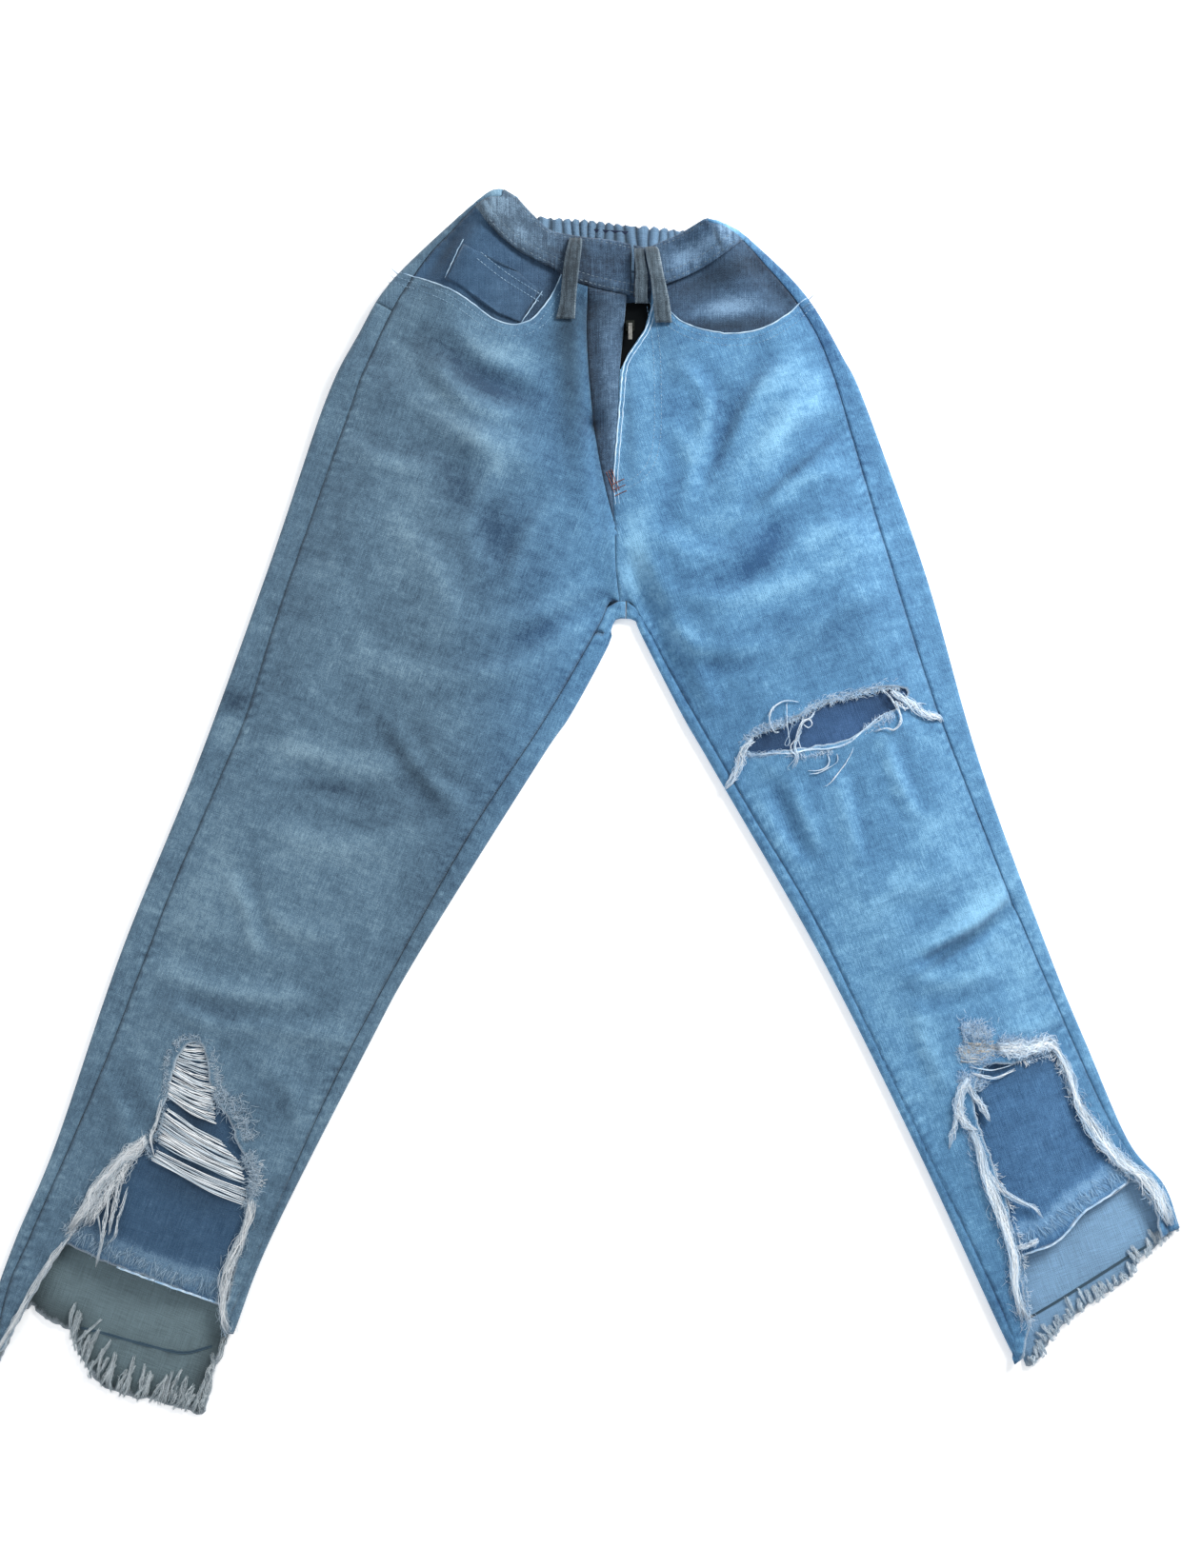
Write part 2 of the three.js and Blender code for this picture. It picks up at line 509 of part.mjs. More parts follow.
function zipSlider() {
  const s = ZIP_SLIDER;
  const base = zipHeight(s.x, s.y) + 1.6;
  const block = (wide, long, thick, x, z) =>
    solid(new THREE.BoxGeometry(wide, long, thick).translate(s.x + x, s.y, z));
  const ear = (side) =>
    block(s.ear, 3.4, s.earHigh + 0.4, (side * (s.earGap + s.ear)) / 2, base + s.thick + s.earHigh / 2 - 0.2);
  const pin = solid(new THREE.CylinderGeometry(ZIP_PULL.pinRadius, ZIP_PULL.pinRadius, s.earGap + 1, 12)
    .rotateZ(Math.PI / 2).translate(s.x, s.y, pivotHeight()));
  return block(s.wide, s.long, s.thick, 0, base + s.thick / 2).add(ear(-1)).add(ear(1)).add(pin);
}
const pivotHeight = () => zipHeight(ZIP_SLIDER.x, ZIP_SLIDER.y) + 1.6 + ZIP_SLIDER.thick + 1.9;

/** The pull tab: a plate with an eye round the slider's pin, lying down along the zip. */
function zipPull() {
  const p = ZIP_PULL;
  const eye = new THREE.CylinderGeometry(p.eyeRadius, p.eyeRadius, p.wide, 16).rotateZ(Math.PI / 2);
  const plate = new THREE.BoxGeometry(p.wide, p.long, p.thick).translate(0, -p.long / 2 - p.eyeRadius + 0.6, 0.2);
  const hole = new THREE.CylinderGeometry(p.holeRadius, p.holeRadius, p.wide + 2, 16).rotateZ(Math.PI / 2);
  const made = solid(eye).add(solid(plate)).subtract(solid(hole));
  return made.translate(ZIP_SLIDER.x, ZIP_SLIDER.y, pivotHeight());
}

// ---------------------------------------------------------------- materials and the finished group
const cloth = (color, roughness = 0.95) => new THREE.MeshStandardMaterial({ color, roughness, metalness: 0 });
const denim = cloth(0x6f97b8);
const denimInside = cloth(0x8fa9b8);
const denimDark = cloth(0x4f76a3);
const tape = cloth(0x1d2222, 0.8);
const metal = new THREE.MeshStandardMaterial({ color: 0xb9b7a8, roughness: 0.35, metalness: 1 });
const label = cloth(0xd9dde0, 0.7);

const garment = new THREE.Group();
garment.position.set(-ORIGIN.x, -ORIGIN.y, 0);

/** Adds a solid to the garment as a named mesh. */
function add(name, made, material) {
  const { vertProperties, triVerts } = made.getMesh();
  const geometry = new THREE.BufferGeometry()
    .setAttribute("position", new THREE.BufferAttribute(new Float32Array(vertProperties), 3))
    .setIndex(new THREE.BufferAttribute(new Uint32Array(triVerts), 1));
  geometry.computeVertexNormals();
  const mesh = new THREE.Mesh(geometry, material);
  mesh.name = name;
  garment.add(mesh);
}

const back = backLayer();
add("back_right", bodyAt(back, -150, 150), denim);
add("back_left", bodyAt(back, 170, 150), denim);
add("yoke_right", bodyAt(back, -60, 410), denim);
add("yoke_left", bodyAt(back, 90, 410), denim);
add("waistband_back", bodyAt(back, 18, 460), denim);
add("back_pocket_right", backPocket(BACK_POCKET_RIGHT), denim);
add("back_pocket_left", backPocket(BACK_POCKET_LEFT), denim);

const front = frontLayer();
add("front_right", bodyAt(front, -150, 150), denim);
add("front_left", bodyAt(front, 170, 150), denim);
add("fly_placket", bodyAt(front, 10, 300), denim);
const band = frontBand();
add("waistband_front_right", bodyAt(band, 0, 440), denim);
add("waistband_front_left", bodyAt(band, 70, 440), denim);
add("pocket_facing_right", pocketFacing(POCKET_EDGE_RIGHT, [[-10, 470], [-120, 500], [-180, 470]]), denimDark);
add("pocket_facing_left", pocketFacing(POCKET_EDGE_LEFT, [[200, 430], [150, 490], [40, 450]]), denimDark);
add("coin_pocket", layer(COIN_POCKET, UNDER_PANEL, COIN_THICK).intersect(belowBand()), denimDark);
add("belt_loop_right", beltLoop(LOOP_RIGHT), denim);
add("belt_loop_left", beltLoop(LOOP_LEFT), denim);
add("belt_loop_left_twist", beltLoop(LOOP_LEFT_INNER, LOOP_WIDTH * 0.6), denim);
add("shin_patch_right", backing(SHIN_PATCH_RIGHT), denimDark);
add("shin_patch_left", backing(SHIN_PATCH_LEFT), denimDark);
add("knee_patch", backing(KNEE_PATCH), denimDark);
add("zip_tape", layer(ZIP_TAPE, UNDER_PANEL, ZIP_TAPE_THICK), tape);
add("zip_slider", zipSlider(), metal);
add("zip_pull", zipPull(), metal);
add("inner_label", cutSheet(LABEL, BAND_CELL, () => DENIM + SEAM_GAP + LABEL_THICK, LABEL_THICK), label);

export default garment;
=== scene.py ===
"""Ripped jeans in washed denim, laid flat on their back, front up and legs apart.

Everything is drafted in millimetres, with X across the garment, Y up towards the waist and Z up off
the ground, then moved into the part's frame, in metres. "right" and "left" are the wearer's: the
right leg lies towards -X.
"""

import logging
import math
from collections.abc import Callable, Iterable, Sequence
from dataclasses import dataclass, field
from enum import Enum

import bpy
import numpy as np
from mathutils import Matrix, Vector
from mathutils.geometry import delaunay_2d_cdt

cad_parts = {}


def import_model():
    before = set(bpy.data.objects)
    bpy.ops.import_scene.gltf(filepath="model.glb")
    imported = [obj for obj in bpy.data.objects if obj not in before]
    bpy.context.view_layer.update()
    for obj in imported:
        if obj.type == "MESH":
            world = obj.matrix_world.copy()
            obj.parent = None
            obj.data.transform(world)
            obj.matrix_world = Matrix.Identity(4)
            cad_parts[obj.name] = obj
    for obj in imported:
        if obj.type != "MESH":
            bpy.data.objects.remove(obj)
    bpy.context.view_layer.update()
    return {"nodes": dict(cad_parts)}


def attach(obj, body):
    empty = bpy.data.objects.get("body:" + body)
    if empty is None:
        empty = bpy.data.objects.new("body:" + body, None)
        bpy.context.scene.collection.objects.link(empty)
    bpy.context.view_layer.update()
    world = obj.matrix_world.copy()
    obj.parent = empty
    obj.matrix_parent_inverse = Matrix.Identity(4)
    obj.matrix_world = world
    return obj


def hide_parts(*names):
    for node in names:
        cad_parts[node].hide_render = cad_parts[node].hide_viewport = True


log = logging.getLogger("jeans")
Array = np.ndarray
Point = tuple[float, float]
Point3 = tuple[float, float, float]
Colour = tuple[int, int, int]

MM = 0.001
ORIGIN = (-4.0, -2.0)  # the part's origin in drafting millimetres
DENIM = 1.5  # thickness of the cloth
SEAM_GAP = 0.3
HALF_GAP = SEAM_GAP / 2
FLY_FOOT = 205  # Y below which both fronts meet at the centre
FOLD_RADIUS = 6.0  # of the turn at a folded edge
FOLD_LOWER = (6.0, 3.6, 1.8, 0.6)  # distances in from the edge of the points round the turn, under it
FOLD_UPPER = (0.0, 0.5, 1.5, 3.0, 4.6)  # and over it
LOFT_REACH = 70.0  # from a folded edge to where the garment is full
CREASE_DEPTH = 1.45  # height of every crease against its stated rise
TINY = 1e-9  # keeps a division from failing
BATCH = 4000  # points that are worked out at a time
TWILL_PITCH = 1.15
GROUND_TOP = 4.5  # cloth below this height lies on the ground
HEM_TOP = 1.8  # height of the back layer's inner face at the hems
ROOT_SHARE = -0.18  # where a fringe's thread starts, behind its edge, against its length
WEFT_DENSITY = 1.7  # threads across a tear for each one stated
ROW_SHARE = 0.866  # distance between the rows of a mesh against the step along them
FRONT_STEP = 3.0  # spacing of the mesh on the upper side
BACK_STEP = 7.0  # and on the side on the ground
CLEAR_OF_FLOOR = 0.00004  # metres
CAMERA_PLACE = (0.004, 0.002 - 0.13066, 1.24315)  # metres
CAMERA_TILT = 6  # degrees off the vertical
BODY = "garment"
FAR_BELOW = [(500, 470), (500, -560), (-500, -560), (-500, 500)]  # round all below the waist

# ------------------------------------------------------------------ outlines, in drafting millimetres
OUTER_RIGHT = ((-60, 492), (-74, 494), (-97, 485), (-123, 468), (-170, 421), (-194, 380), (-223, 319),
               (-268, 177), (-321, 18), (-379, -137), (-426, -288), (-455, -362), (-471, -413), (-477, -464))
OUTER_LEFT = ((97, 469), (118, 466), (133, 459), (167, 428), (189, 400), (211, 360), (230, 319), (277, 177),
              (318, 18), (370, -137), (399, -213), (429, -287), (456, -321), (467, -354))
INNER_RIGHT = ((29, 137), (21, 136), (17, 127), (15, 115), (-16, 57), (-42, 18), (-138, -137), (-179, -213),
               (-253, -362), (-281, -436))
INNER_LEFT = ((29, 137), (37, 135), (42, 123), (75, 57), (97, 18), (184, -137), (258, -288), (324, -435),
              (335, -455))
OUTSEAM_RIGHT = ((-73, 482), (-93, 478), (-117, 460), (-139, 438), (-170, 387), (-203, 304), (-256, 144),
                 (-280, 59), (-302, 3), (-342, -96), (-389, -228), (-440, -354), (-460, -405), (-469, -470))
OUTSEAM_LEFT = ((97, 461), (113, 458), (127, 451), (143, 436), (174, 400), (201, 345), (241, 203), (278, 76),
                (309, -11), (340, -95), (388, -213), (416, -276), (442, -317), (457, -357))
INSEAM_RIGHT = ((25, 151), (16, 150), (12, 142), (4, 125), (-39, 50), (-102, -48), (-187, -204),
                (-228, -291), (-286, -430), (-289, -440))
INSEAM_LEFT = ((25, 151), (34, 149), (42, 136), (52, 118), (87, 53), (130, -23), (178, -105), (225, -204),
               (273, -307), (304, -373), (328, -429), (332, -458))
CENTRE_FRONT = ((33, 404), (27, 370), (24, 341), (22, 296), (18, 251), (20, 208), (21, 176), (25, 145))
PLACKET_SEAM = ((-2, 425), (-3, 380), (-1, 340), (4, 290), (12, 245), (22, 205))
FLY_GAP = ((31, 420), (27, 376), (24, 345), (25, 343), (31, 357), (45, 378), (50, 396), (51, 420))
BAND_SEAM = ((-110, 494), (-93, 472), (-83, 459), (-57, 443), (-31, 430), (-14, 420), (28, 409), (40, 406),
             (56, 413), (83, 424), (108, 435), (122, 446), (134, 462))
BAND_TOP = ((-72, 491), (-60, 486), (-46, 475), (-32, 464), (-12, 461), (14, 458), (37, 451), (48, 449),
            (64, 455), (85, 461), (97, 465), (112, 472))
BAND_CLOSURE = ((34, 470), (35, 444), (35, 420), (34, 395))
BACK_BAND_SEAM = ((-120, 506), (-97, 486), (-60, 452), (-20, 441), (18, 437), (60, 437), (105, 444),
                  (134, 460), (150, 474))
BACK_BAND_TOP = ((-90, 500), (-70, 488), (-47, 485), (-15, 482), (16, 479), (50, 475), (75, 473), (95, 470),
                 (115, 478))
YOKE_SEAM = ((-215, 418), (-178, 405), (-110, 388), (-40, 372), (18, 366), (70, 371), (130, 386), (186, 403),
             (225, 414))
SEAT_POINT, YOKE_POINT, WAIST_POINT = (29, 150), (18, 362), (18, 437)  # on the centre back seam
YOKE_MIDDLE = (18, 366)
CENTRE_BACK = ((18, 500), (18, 440), (19, 340), (22, 240), (29, 160), (29, 120))
POCKET_EDGE_RIGHT = ((-170, 434), (-151, 426), (-138, 421), (-103, 402), (-79, 386), (-62, 382), (-47, 388),
                     (-34, 405), (-26, 422), (-22, 440))
POCKET_EDGE_LEFT = ((54, 420), (58, 406), (66, 393), (83, 381), (115, 374), (143, 379), (164, 392),
                    (176, 404), (190, 412))
COIN_POCKET = ((-105, 446), (-121, 419), (-76, 391), (-58, 384), (-43, 412), (-60, 427))
WINDOW_RIGHT = ((-312, -208), (-328, -219), (-335, -250), (-347, -280), (-356, -297), (-370, -309),
                (-388, -333), (-410, -361), (-434, -398), (-457, -440), (-478, -474), (-470, -520),
                (-270, -520), (-287, -430), (-285, -408), (-280, -383), (-272, -343), (-266, -321),
                (-264, -308), (-278, -291), (-284, -271), (-300, -246), (-306, -218))
WINDOW_LEFT = ((319, -226), (338, -225), (358, -216), (374, -219), (387, -250), (401, -280), (419, -306),
               (434, -321), (446, -338), (450, -361), (470, -420), (370, -500), (338, -470), (342, -440),
               (344, -427), (339, -398), (333, -361), (328, -333), (321, -313), (314, -291), (307, -272),
               (303, -250), (307, -236))
SLASH = ((126, 22), (128, 33), (140, 42), (163, 51), (187, 64), (218, 73), (253, 78), (257, 70), (241, 55),
         (221, 42), (202, 33), (163, 26))
HEM_RIGHT = ((-477, -464), (-466, -458), (-445, -416), (-432, -424), (-411, -434), (-401, -455),
             (-381, -477), (-340, -488), (-305, -496), (-300, -472), (-291, -452), (-281, -436))
HEM_LEFT = ((467, -354), (445, -372), (434, -379), (425, -394), (406, -405), (396, -413), (375, -427),
            (361, -441), (355, -453), (345, -461), (335, -455))
HEM_STITCH_RIGHT = ((-402, -431), (-388, -434), (-369, -439), (-345, -445), (-320, -450), (-298, -445))
HEM_STITCH_LEFT = ((345, -424), (368, -411), (395, -395), (420, -380), (444, -366))
SHIN_PATCH_RIGHT = ((-318, -196), (-340, -210), (-352, -262), (-378, -300), (-421, -352), (-414, -364),
                    (-387, -377), (-361, -386), (-330, -397), (-284, -414), (-272, -390), (-256, -320),
                    (-258, -300), (-280, -262), (-294, -210))
SHIN_PATCH_LEFT = ((296, -232), (314, -213), (376, -206), (394, -240), (408, -270), (426, -302), (427, -318),
                   (408, -330), (389, -341), (378, -353), (365, -365), (350, -371), (331, -377), (318, -345),
                   (306, -300), (296, -262))
KNEE_PATCH = ((112, 12), (114, 44), (180, 78), (262, 94), (270, 62), (230, 30), (170, 8))


# ------------------------------------------------------------------ curves
def smooth(t: Array | float) -> Array | float:
    """A soft step from 0 to 1."""
    s = np.clip(t, 0.0, 1.0)
    return s * s * (3 - 2 * s)


def unit(vectors: Array) -> Array:
    """Vectors made one long."""
    return vectors / np.maximum(np.linalg.norm(vectors, axis=-1, keepdims=True), TINY)


def left_of(directions: Array) -> Array:
    """Directions in the plane, each turned a quarter turn to the left."""
    return np.column_stack([-directions[:, 1], directions[:, 0]])


def gaps(points: Array) -> Array:
    """Distances from each point of a line to the next."""
    return np.linalg.norm(np.diff(points, axis=0), axis=1)


def bell(distance: Array, width: float) -> Array:
    """A soft bump: 1 where the distance is 0, dying out past the width."""
    return np.exp(-(distance / width) ** 2)


def spline(a: Array, b: Array, c: Array, d: Array, t: Array) -> Array:
    """A smooth stretch from b to c for t from 0 to 1, where a comes before it and d after it."""
    return 0.5 * (2 * b + (c - a) * t + (2 * a - 5 * b + 4 * c - d) * t**2 + (3 * b - a - 3 * c + d) * t**3)


def catmull(values: Array, where: Array) -> Array:
    """A smooth curve through numbers one apart, read at other places."""
    v = np.concatenate([[2 * values[0] - values[1]], values, [2 * values[-1] - values[-2]]])
    i = np.minimum(where.astype(int), len(values) - 2)
    return spline(v[i], v[i + 1], v[i + 2], v[i + 3], where - i)


class Curve:
    """A smooth line through given points, with its points about `step` apart."""

    def __init__(self, points: Sequence[Point], step: float = 6.0, closed: bool = False) -> None:
        """Runs the line.

        Args:
            points: the points it goes through.
            step: spacing of the points that it is made of.
            closed: True for an outline that ends where it starts.
        """
        p = np.array(points, float)
        count = len(p) if closed else len(p) - 1
        out = []
        for i in range(count):
            if closed:
                a, b, c, d = (p[(i + k) % len(p)] for k in (-1, 0, 1, 2))
            else:
                b, c = p[i], p[i + 1]
                a = p[i - 1] if i else 2 * b - c
                d = p[i + 2] if i + 2 < len(p) else 2 * c - b
            pieces = max(1, round(float(np.hypot(*(c - b))) / step))
            t = (np.arange(pieces) / pieces)[:, None]
            out.append(spline(a, b, c, d, t))
        if not closed:
            out.append(p[-1:])
        self.points = np.concatenate(out)
        self.closed = closed

    @classmethod
    def over(cls, points: Array, closed: bool = True) -> "Curve":
        """A line straight through points that are close together already."""
        line = cls.__new__(cls)
        line.points, line.closed = np.asarray(points, float), closed
        return line

    @property
    def loop(self) -> Array:
        """The points, with the first one again at the end of a closed line."""
        return np.vstack([self.points, self.points[:1]]) if self.closed else self.points

    def normals(self) -> Array:
        """Unit normals on the left of the line."""
        if self.closed:
            d = np.roll(self.points, -1, 0) - np.roll(self.points, 1, 0)
        else:
            d = np.gradient(self.points, axis=0)
        return left_of(unit(d))

    def moved(self, distance: float) -> Array:
        """The points moved sideways, to the left where the distance is above zero."""
        return self.points + self.normals() * distance

    def locate(self, xy: Array) -> tuple[Array, Array]:
        """Finds where points lie against the line.

        Args:
            xy: the points, one a row.

        Returns:
            How far along the line each is, and its distance from it, above zero on the left.
        """
        loop = self.loop
        a, b = loop[:-1], loop[1:]
        d = b - a
        length = np.maximum(np.linalg.norm(d, axis=1), TINY)
        start = np.concatenate([[0], np.cumsum(length)[:-1]])
        along, off = np.empty(len(xy)), np.empty(len(xy))
        for lo in range(0, len(xy), BATCH):
            rows = slice(lo, lo + BATCH)
            q = xy[rows, None, :] - a
            t = np.clip((q * d).sum(2) / length**2, 0, 1)
            away = q - t[..., None] * d
            far = (away**2).sum(2)
            k = far.argmin(1)
            row = np.arange(len(k))
            side = np.sign(d[k, 0] * q[row, k, 1] - d[k, 1] * q[row, k, 0])
            off[rows] = np.sqrt(far[row, k]) * np.where(side == 0, 1, side)
            along[rows] = start[k] + t[row, k] * length[k]
        return along, off

    def distance(self, xy: Array) -> Array:
        """Distance of points from the line."""
        return np.abs(self.locate(xy)[1])


def inside(xy: Array, outline: Array) -> Array:
    """Whether points lie inside a closed outline."""
    x, y = xy[:, :1], xy[:, 1:]
    a, b = outline, np.roll(outline, -1, 0)
    out = np.zeros(len(xy), bool)
    rise = np.where(b[:, 1] == a[:, 1], TINY, b[:, 1] - a[:, 1])
    for lo in range(0, len(xy), BATCH):
        rows = slice(lo, lo + BATCH)
        crosses = (a[:, 1] > y[rows]) != (b[:, 1] > y[rows])
        at = (b[:, 0] - a[:, 0]) * (y[rows] - a[:, 1]) / rise + a[:, 0]
        out[rows] = (crosses & (x[rows] < at)).sum(1) % 2 == 1
    return out


def ragged(outline: Array, amount: float, seed: int) -> Array:
    """An outline made uneven, as torn cloth is.

    Args:
        outline: the closed outline.
        amount: the most that a point moves.
        seed: the draw's seed.

    Returns:
        The outline's new points.
    """
    rng = np.random.default_rng(seed)
    push = rng.uniform(-amount, amount, len(outline))
    push = (push + np.roll(push, 1)) * 0.7
    return outline + Curve.over(outline).normals() * push[:, None]


# ------------------------------------------------------------------ the relief of the cloth
@dataclass(frozen=True)
class Fold:
    """A large fold: a straight ridge, or a trough below zero, with its height at each end."""

    start: Point
    end: Point
    heights: tuple[float, float]
    width: float

    def height(self, xy: Array) -> Array:
        """Height that the fold adds at points."""
        a, b = np.array(self.start, float), np.array(self.end, float)
        d = b - a
        t = np.clip(((xy - a) @ d) / (d @ d), 0, 1)
        off = np.linalg.norm(xy - a - t[:, None] * d, axis=1) / self.width
        return (self.heights[0] + (self.heights[1] - self.heights[0]) * t) * np.exp(-off * off)


@dataclass(frozen=True)
class Crease:
    """A soft crease along a curve: a ridge with a shallower trough beside it, both dying out at the ends.

    The width is that of the ridge, and side says on which side its trough lies: 1 left, -1 right.
    """

    points: tuple[Point, ...]
    rise: float
    width: float
    side: int = 1
    trough: float = 0.6

    def height(self, xy: Array) -> Array:
        """Height that the crease adds at points."""
        curve = Curve(self.points, 12.0)
        length = float(gaps(curve.points).sum())
        out = np.zeros(len(xy))
        lo, hi = curve.points.min(0) - 4 * self.width, curve.points.max(0) + 4 * self.width
        near = ((xy > lo) & (xy < hi)).all(1)
        if not near.any():
            return out
        along, off = curve.locate(xy[near])
        end = np.linalg.norm(xy[near, None] - curve.points[[0, -1]], axis=2).min(1)
        fade = np.sin(np.pi * np.clip(along / length, 0, 1)) ** 0.6
        fade *= np.where((along <= 0) | (along >= length), bell(end, self.width), 1)
        off = off * self.side / self.width
        profile = np.exp(-off * off) - self.trough * bell(off - 1.7, 1.1)
        out[near] = self.rise * fade * profile
        return out


FOLDS = (
    Fold((-80, 486), (-124, 392), (27, 3), 23),
    Fold((99, 464), (146, 396), (23, 3), 23),
    Fold((4, 470), (12, 380), (-9, -4), 34),
    Fold((-3, 400), (2, 300), (-7, -7), 9),
    Fold((2, 300), (18, 215), (-7, -3), 9),
    Fold((-200, 345), (-90, 282), (3, 5), 17),
    Fold((-90, 282), (-42, 262), (5, 3), 17),
    Fold((-135, 372), (-66, 330), (-4, -4), 17),
    Fold((-150, 312), (-72, 195), (-3, -4), 20),
    Fold((-150, 20), (-125, -25), (-3, -3), 13),
    Fold((-345, -133), (-220, -168), (-3, -3), 15),
    Fold((-335, -182), (-196, -207), (2, 3), 9),
    Fold((141, 358), (95, 255), (-4, -3), 13),
    Fold((200, 294), (133, 232), (-4, -4), 13),
    Fold((183, 330), (120, 245), (4, 4), 15),
    Fold((143, 218), (88, 186), (-3, -3), 15),
    Fold((220, 198), (90, 112), (2, 4), 14),
    Fold((36, 178), (80, 70), (-4, -3), 9),
    Fold((52, 176), (98, 66), (3, 3), 9),
    Fold((150, 12), (250, 46), (3, 3), 12),
    Fold((340, -98), (268, -146), (-3, -3), 6),
)

CREASES = (
    # right thigh and hip
    Crease(((-132, 352), (-104, 318), (-60, 300)), 2.6, 9, -1),
    Crease(((-118, 384), (-84, 352), (-34, 330)), 2.2, 9, -1),
    Crease(((-210, 290), (-168, 262), (-118, 262)), 1.4, 9, 1),
    Crease(((-70, 270), (-96, 226), (-98, 180)), 1.8, 9, 1),
    Crease(((-172, 220), (-128, 176), (-108, 118)), 1.5, 12, 1),
    Crease(((-20, 238), (-54, 196), (-66, 150)), 1.6, 9, -1),
    Crease(((8, 168), (-38, 140), (-92, 128)), 1.7, 8, 1),
    Crease(((-2, 138), (-50, 96), (-112, 84)), 1.5, 9, -1),
    Crease(((-200, 110), (-140, 86), (-70, 92)), 1.2, 12, 1),
    # right knee and shin
    Crease(((-250, 30), (-180, 10), (-120, 24)), 1.4, 10, -1),
    Crease(((-160, 48), (-136, 6), (-96, -24)), 2.0, 8, 1),
    Crease(((-280, -30), (-214, -52), (-150, -50)), 1.2, 12, 1),
    Crease(((-292, -72), (-276, -104), (-268, -140)), 1.8, 7, 1),
    Crease(((-276, -88), (-240, -118), (-196, -128)), 1.3, 9, -1),
    Crease(((-352, -150), (-280, -172), (-206, -170)), 2.0, 9, -1),
    Crease(((-342, -176), (-300, -196), (-262, -196)), 1.4, 8, 1),
    Crease(((-392, -232), (-372, -262), (-358, -300)), 1.4, 8, 1),
    Crease(((-262, -222), (-236, -250), (-232, -288)), 1.2, 8, -1),
    # left hip and thigh
    Crease(((68, 352), (96, 316), (88, 262)), 2.2, 8, 1),
    Crease(((176, 352), (134, 318), (112, 270)), 2.0, 9, -1),
    Crease(((206, 318), (160, 296), (140, 250)), 1.6, 9, 1),
    Crease(((66, 300), (84, 262), (74, 214)), 1.6, 8, -1),
    Crease(((214, 262), (166, 246), (118, 198)), 1.8, 10, 1),
    Crease(((44, 210), (92, 186), (154, 198)), 1.5, 9, 1),
    Crease(((226, 218), (176, 196), (126, 152)), 1.7, 9, -1),
    Crease(((50, 160), (108, 148), (178, 168)), 1.5, 8, 1),
    Crease(((56, 132), (96, 108), (148, 112)), 1.8, 8, -1),
    Crease(((244, 164), (196, 140), (150, 98)), 1.3, 10, 1),
    # left knee and shin
    Crease(((236, 40), (246, 8), (262, -30)), 2.2, 7, 1),
    Crease(((160, 8), (170, -22), (186, -60)), 1.8, 7, -1),
    Crease(((198, 12), (206, -24), (216, -66)), 1.6, 7, 1),
    Crease(((132, 4), (150, -40), (176, -76)), 1.3, 7, 1),
    Crease(((306, -60), (276, -84), (236, -84)), 1.2, 10, 1),
    Crease(((338, -90), (311, -113), (264, -138)), 3.0, 5, 1, 0.9),
    Crease(((330, -146), (292, -160), (246, -156)), 1.4, 9, 1),
    Crease(((262, -176), (268, -212), (286, -248)), 1.4, 7, -1),
    Crease(((380, -182), (352, -198), (326, -196)), 1.2, 8, 1),
)


def round_off(distance: Array) -> Array:
    """How far cloth has turned over at a distance from a folded edge: 0 on the edge, 1 past its radius."""
    return np.sqrt(1 - (1 - np.minimum(distance / FOLD_RADIUS, 1)) ** 2)


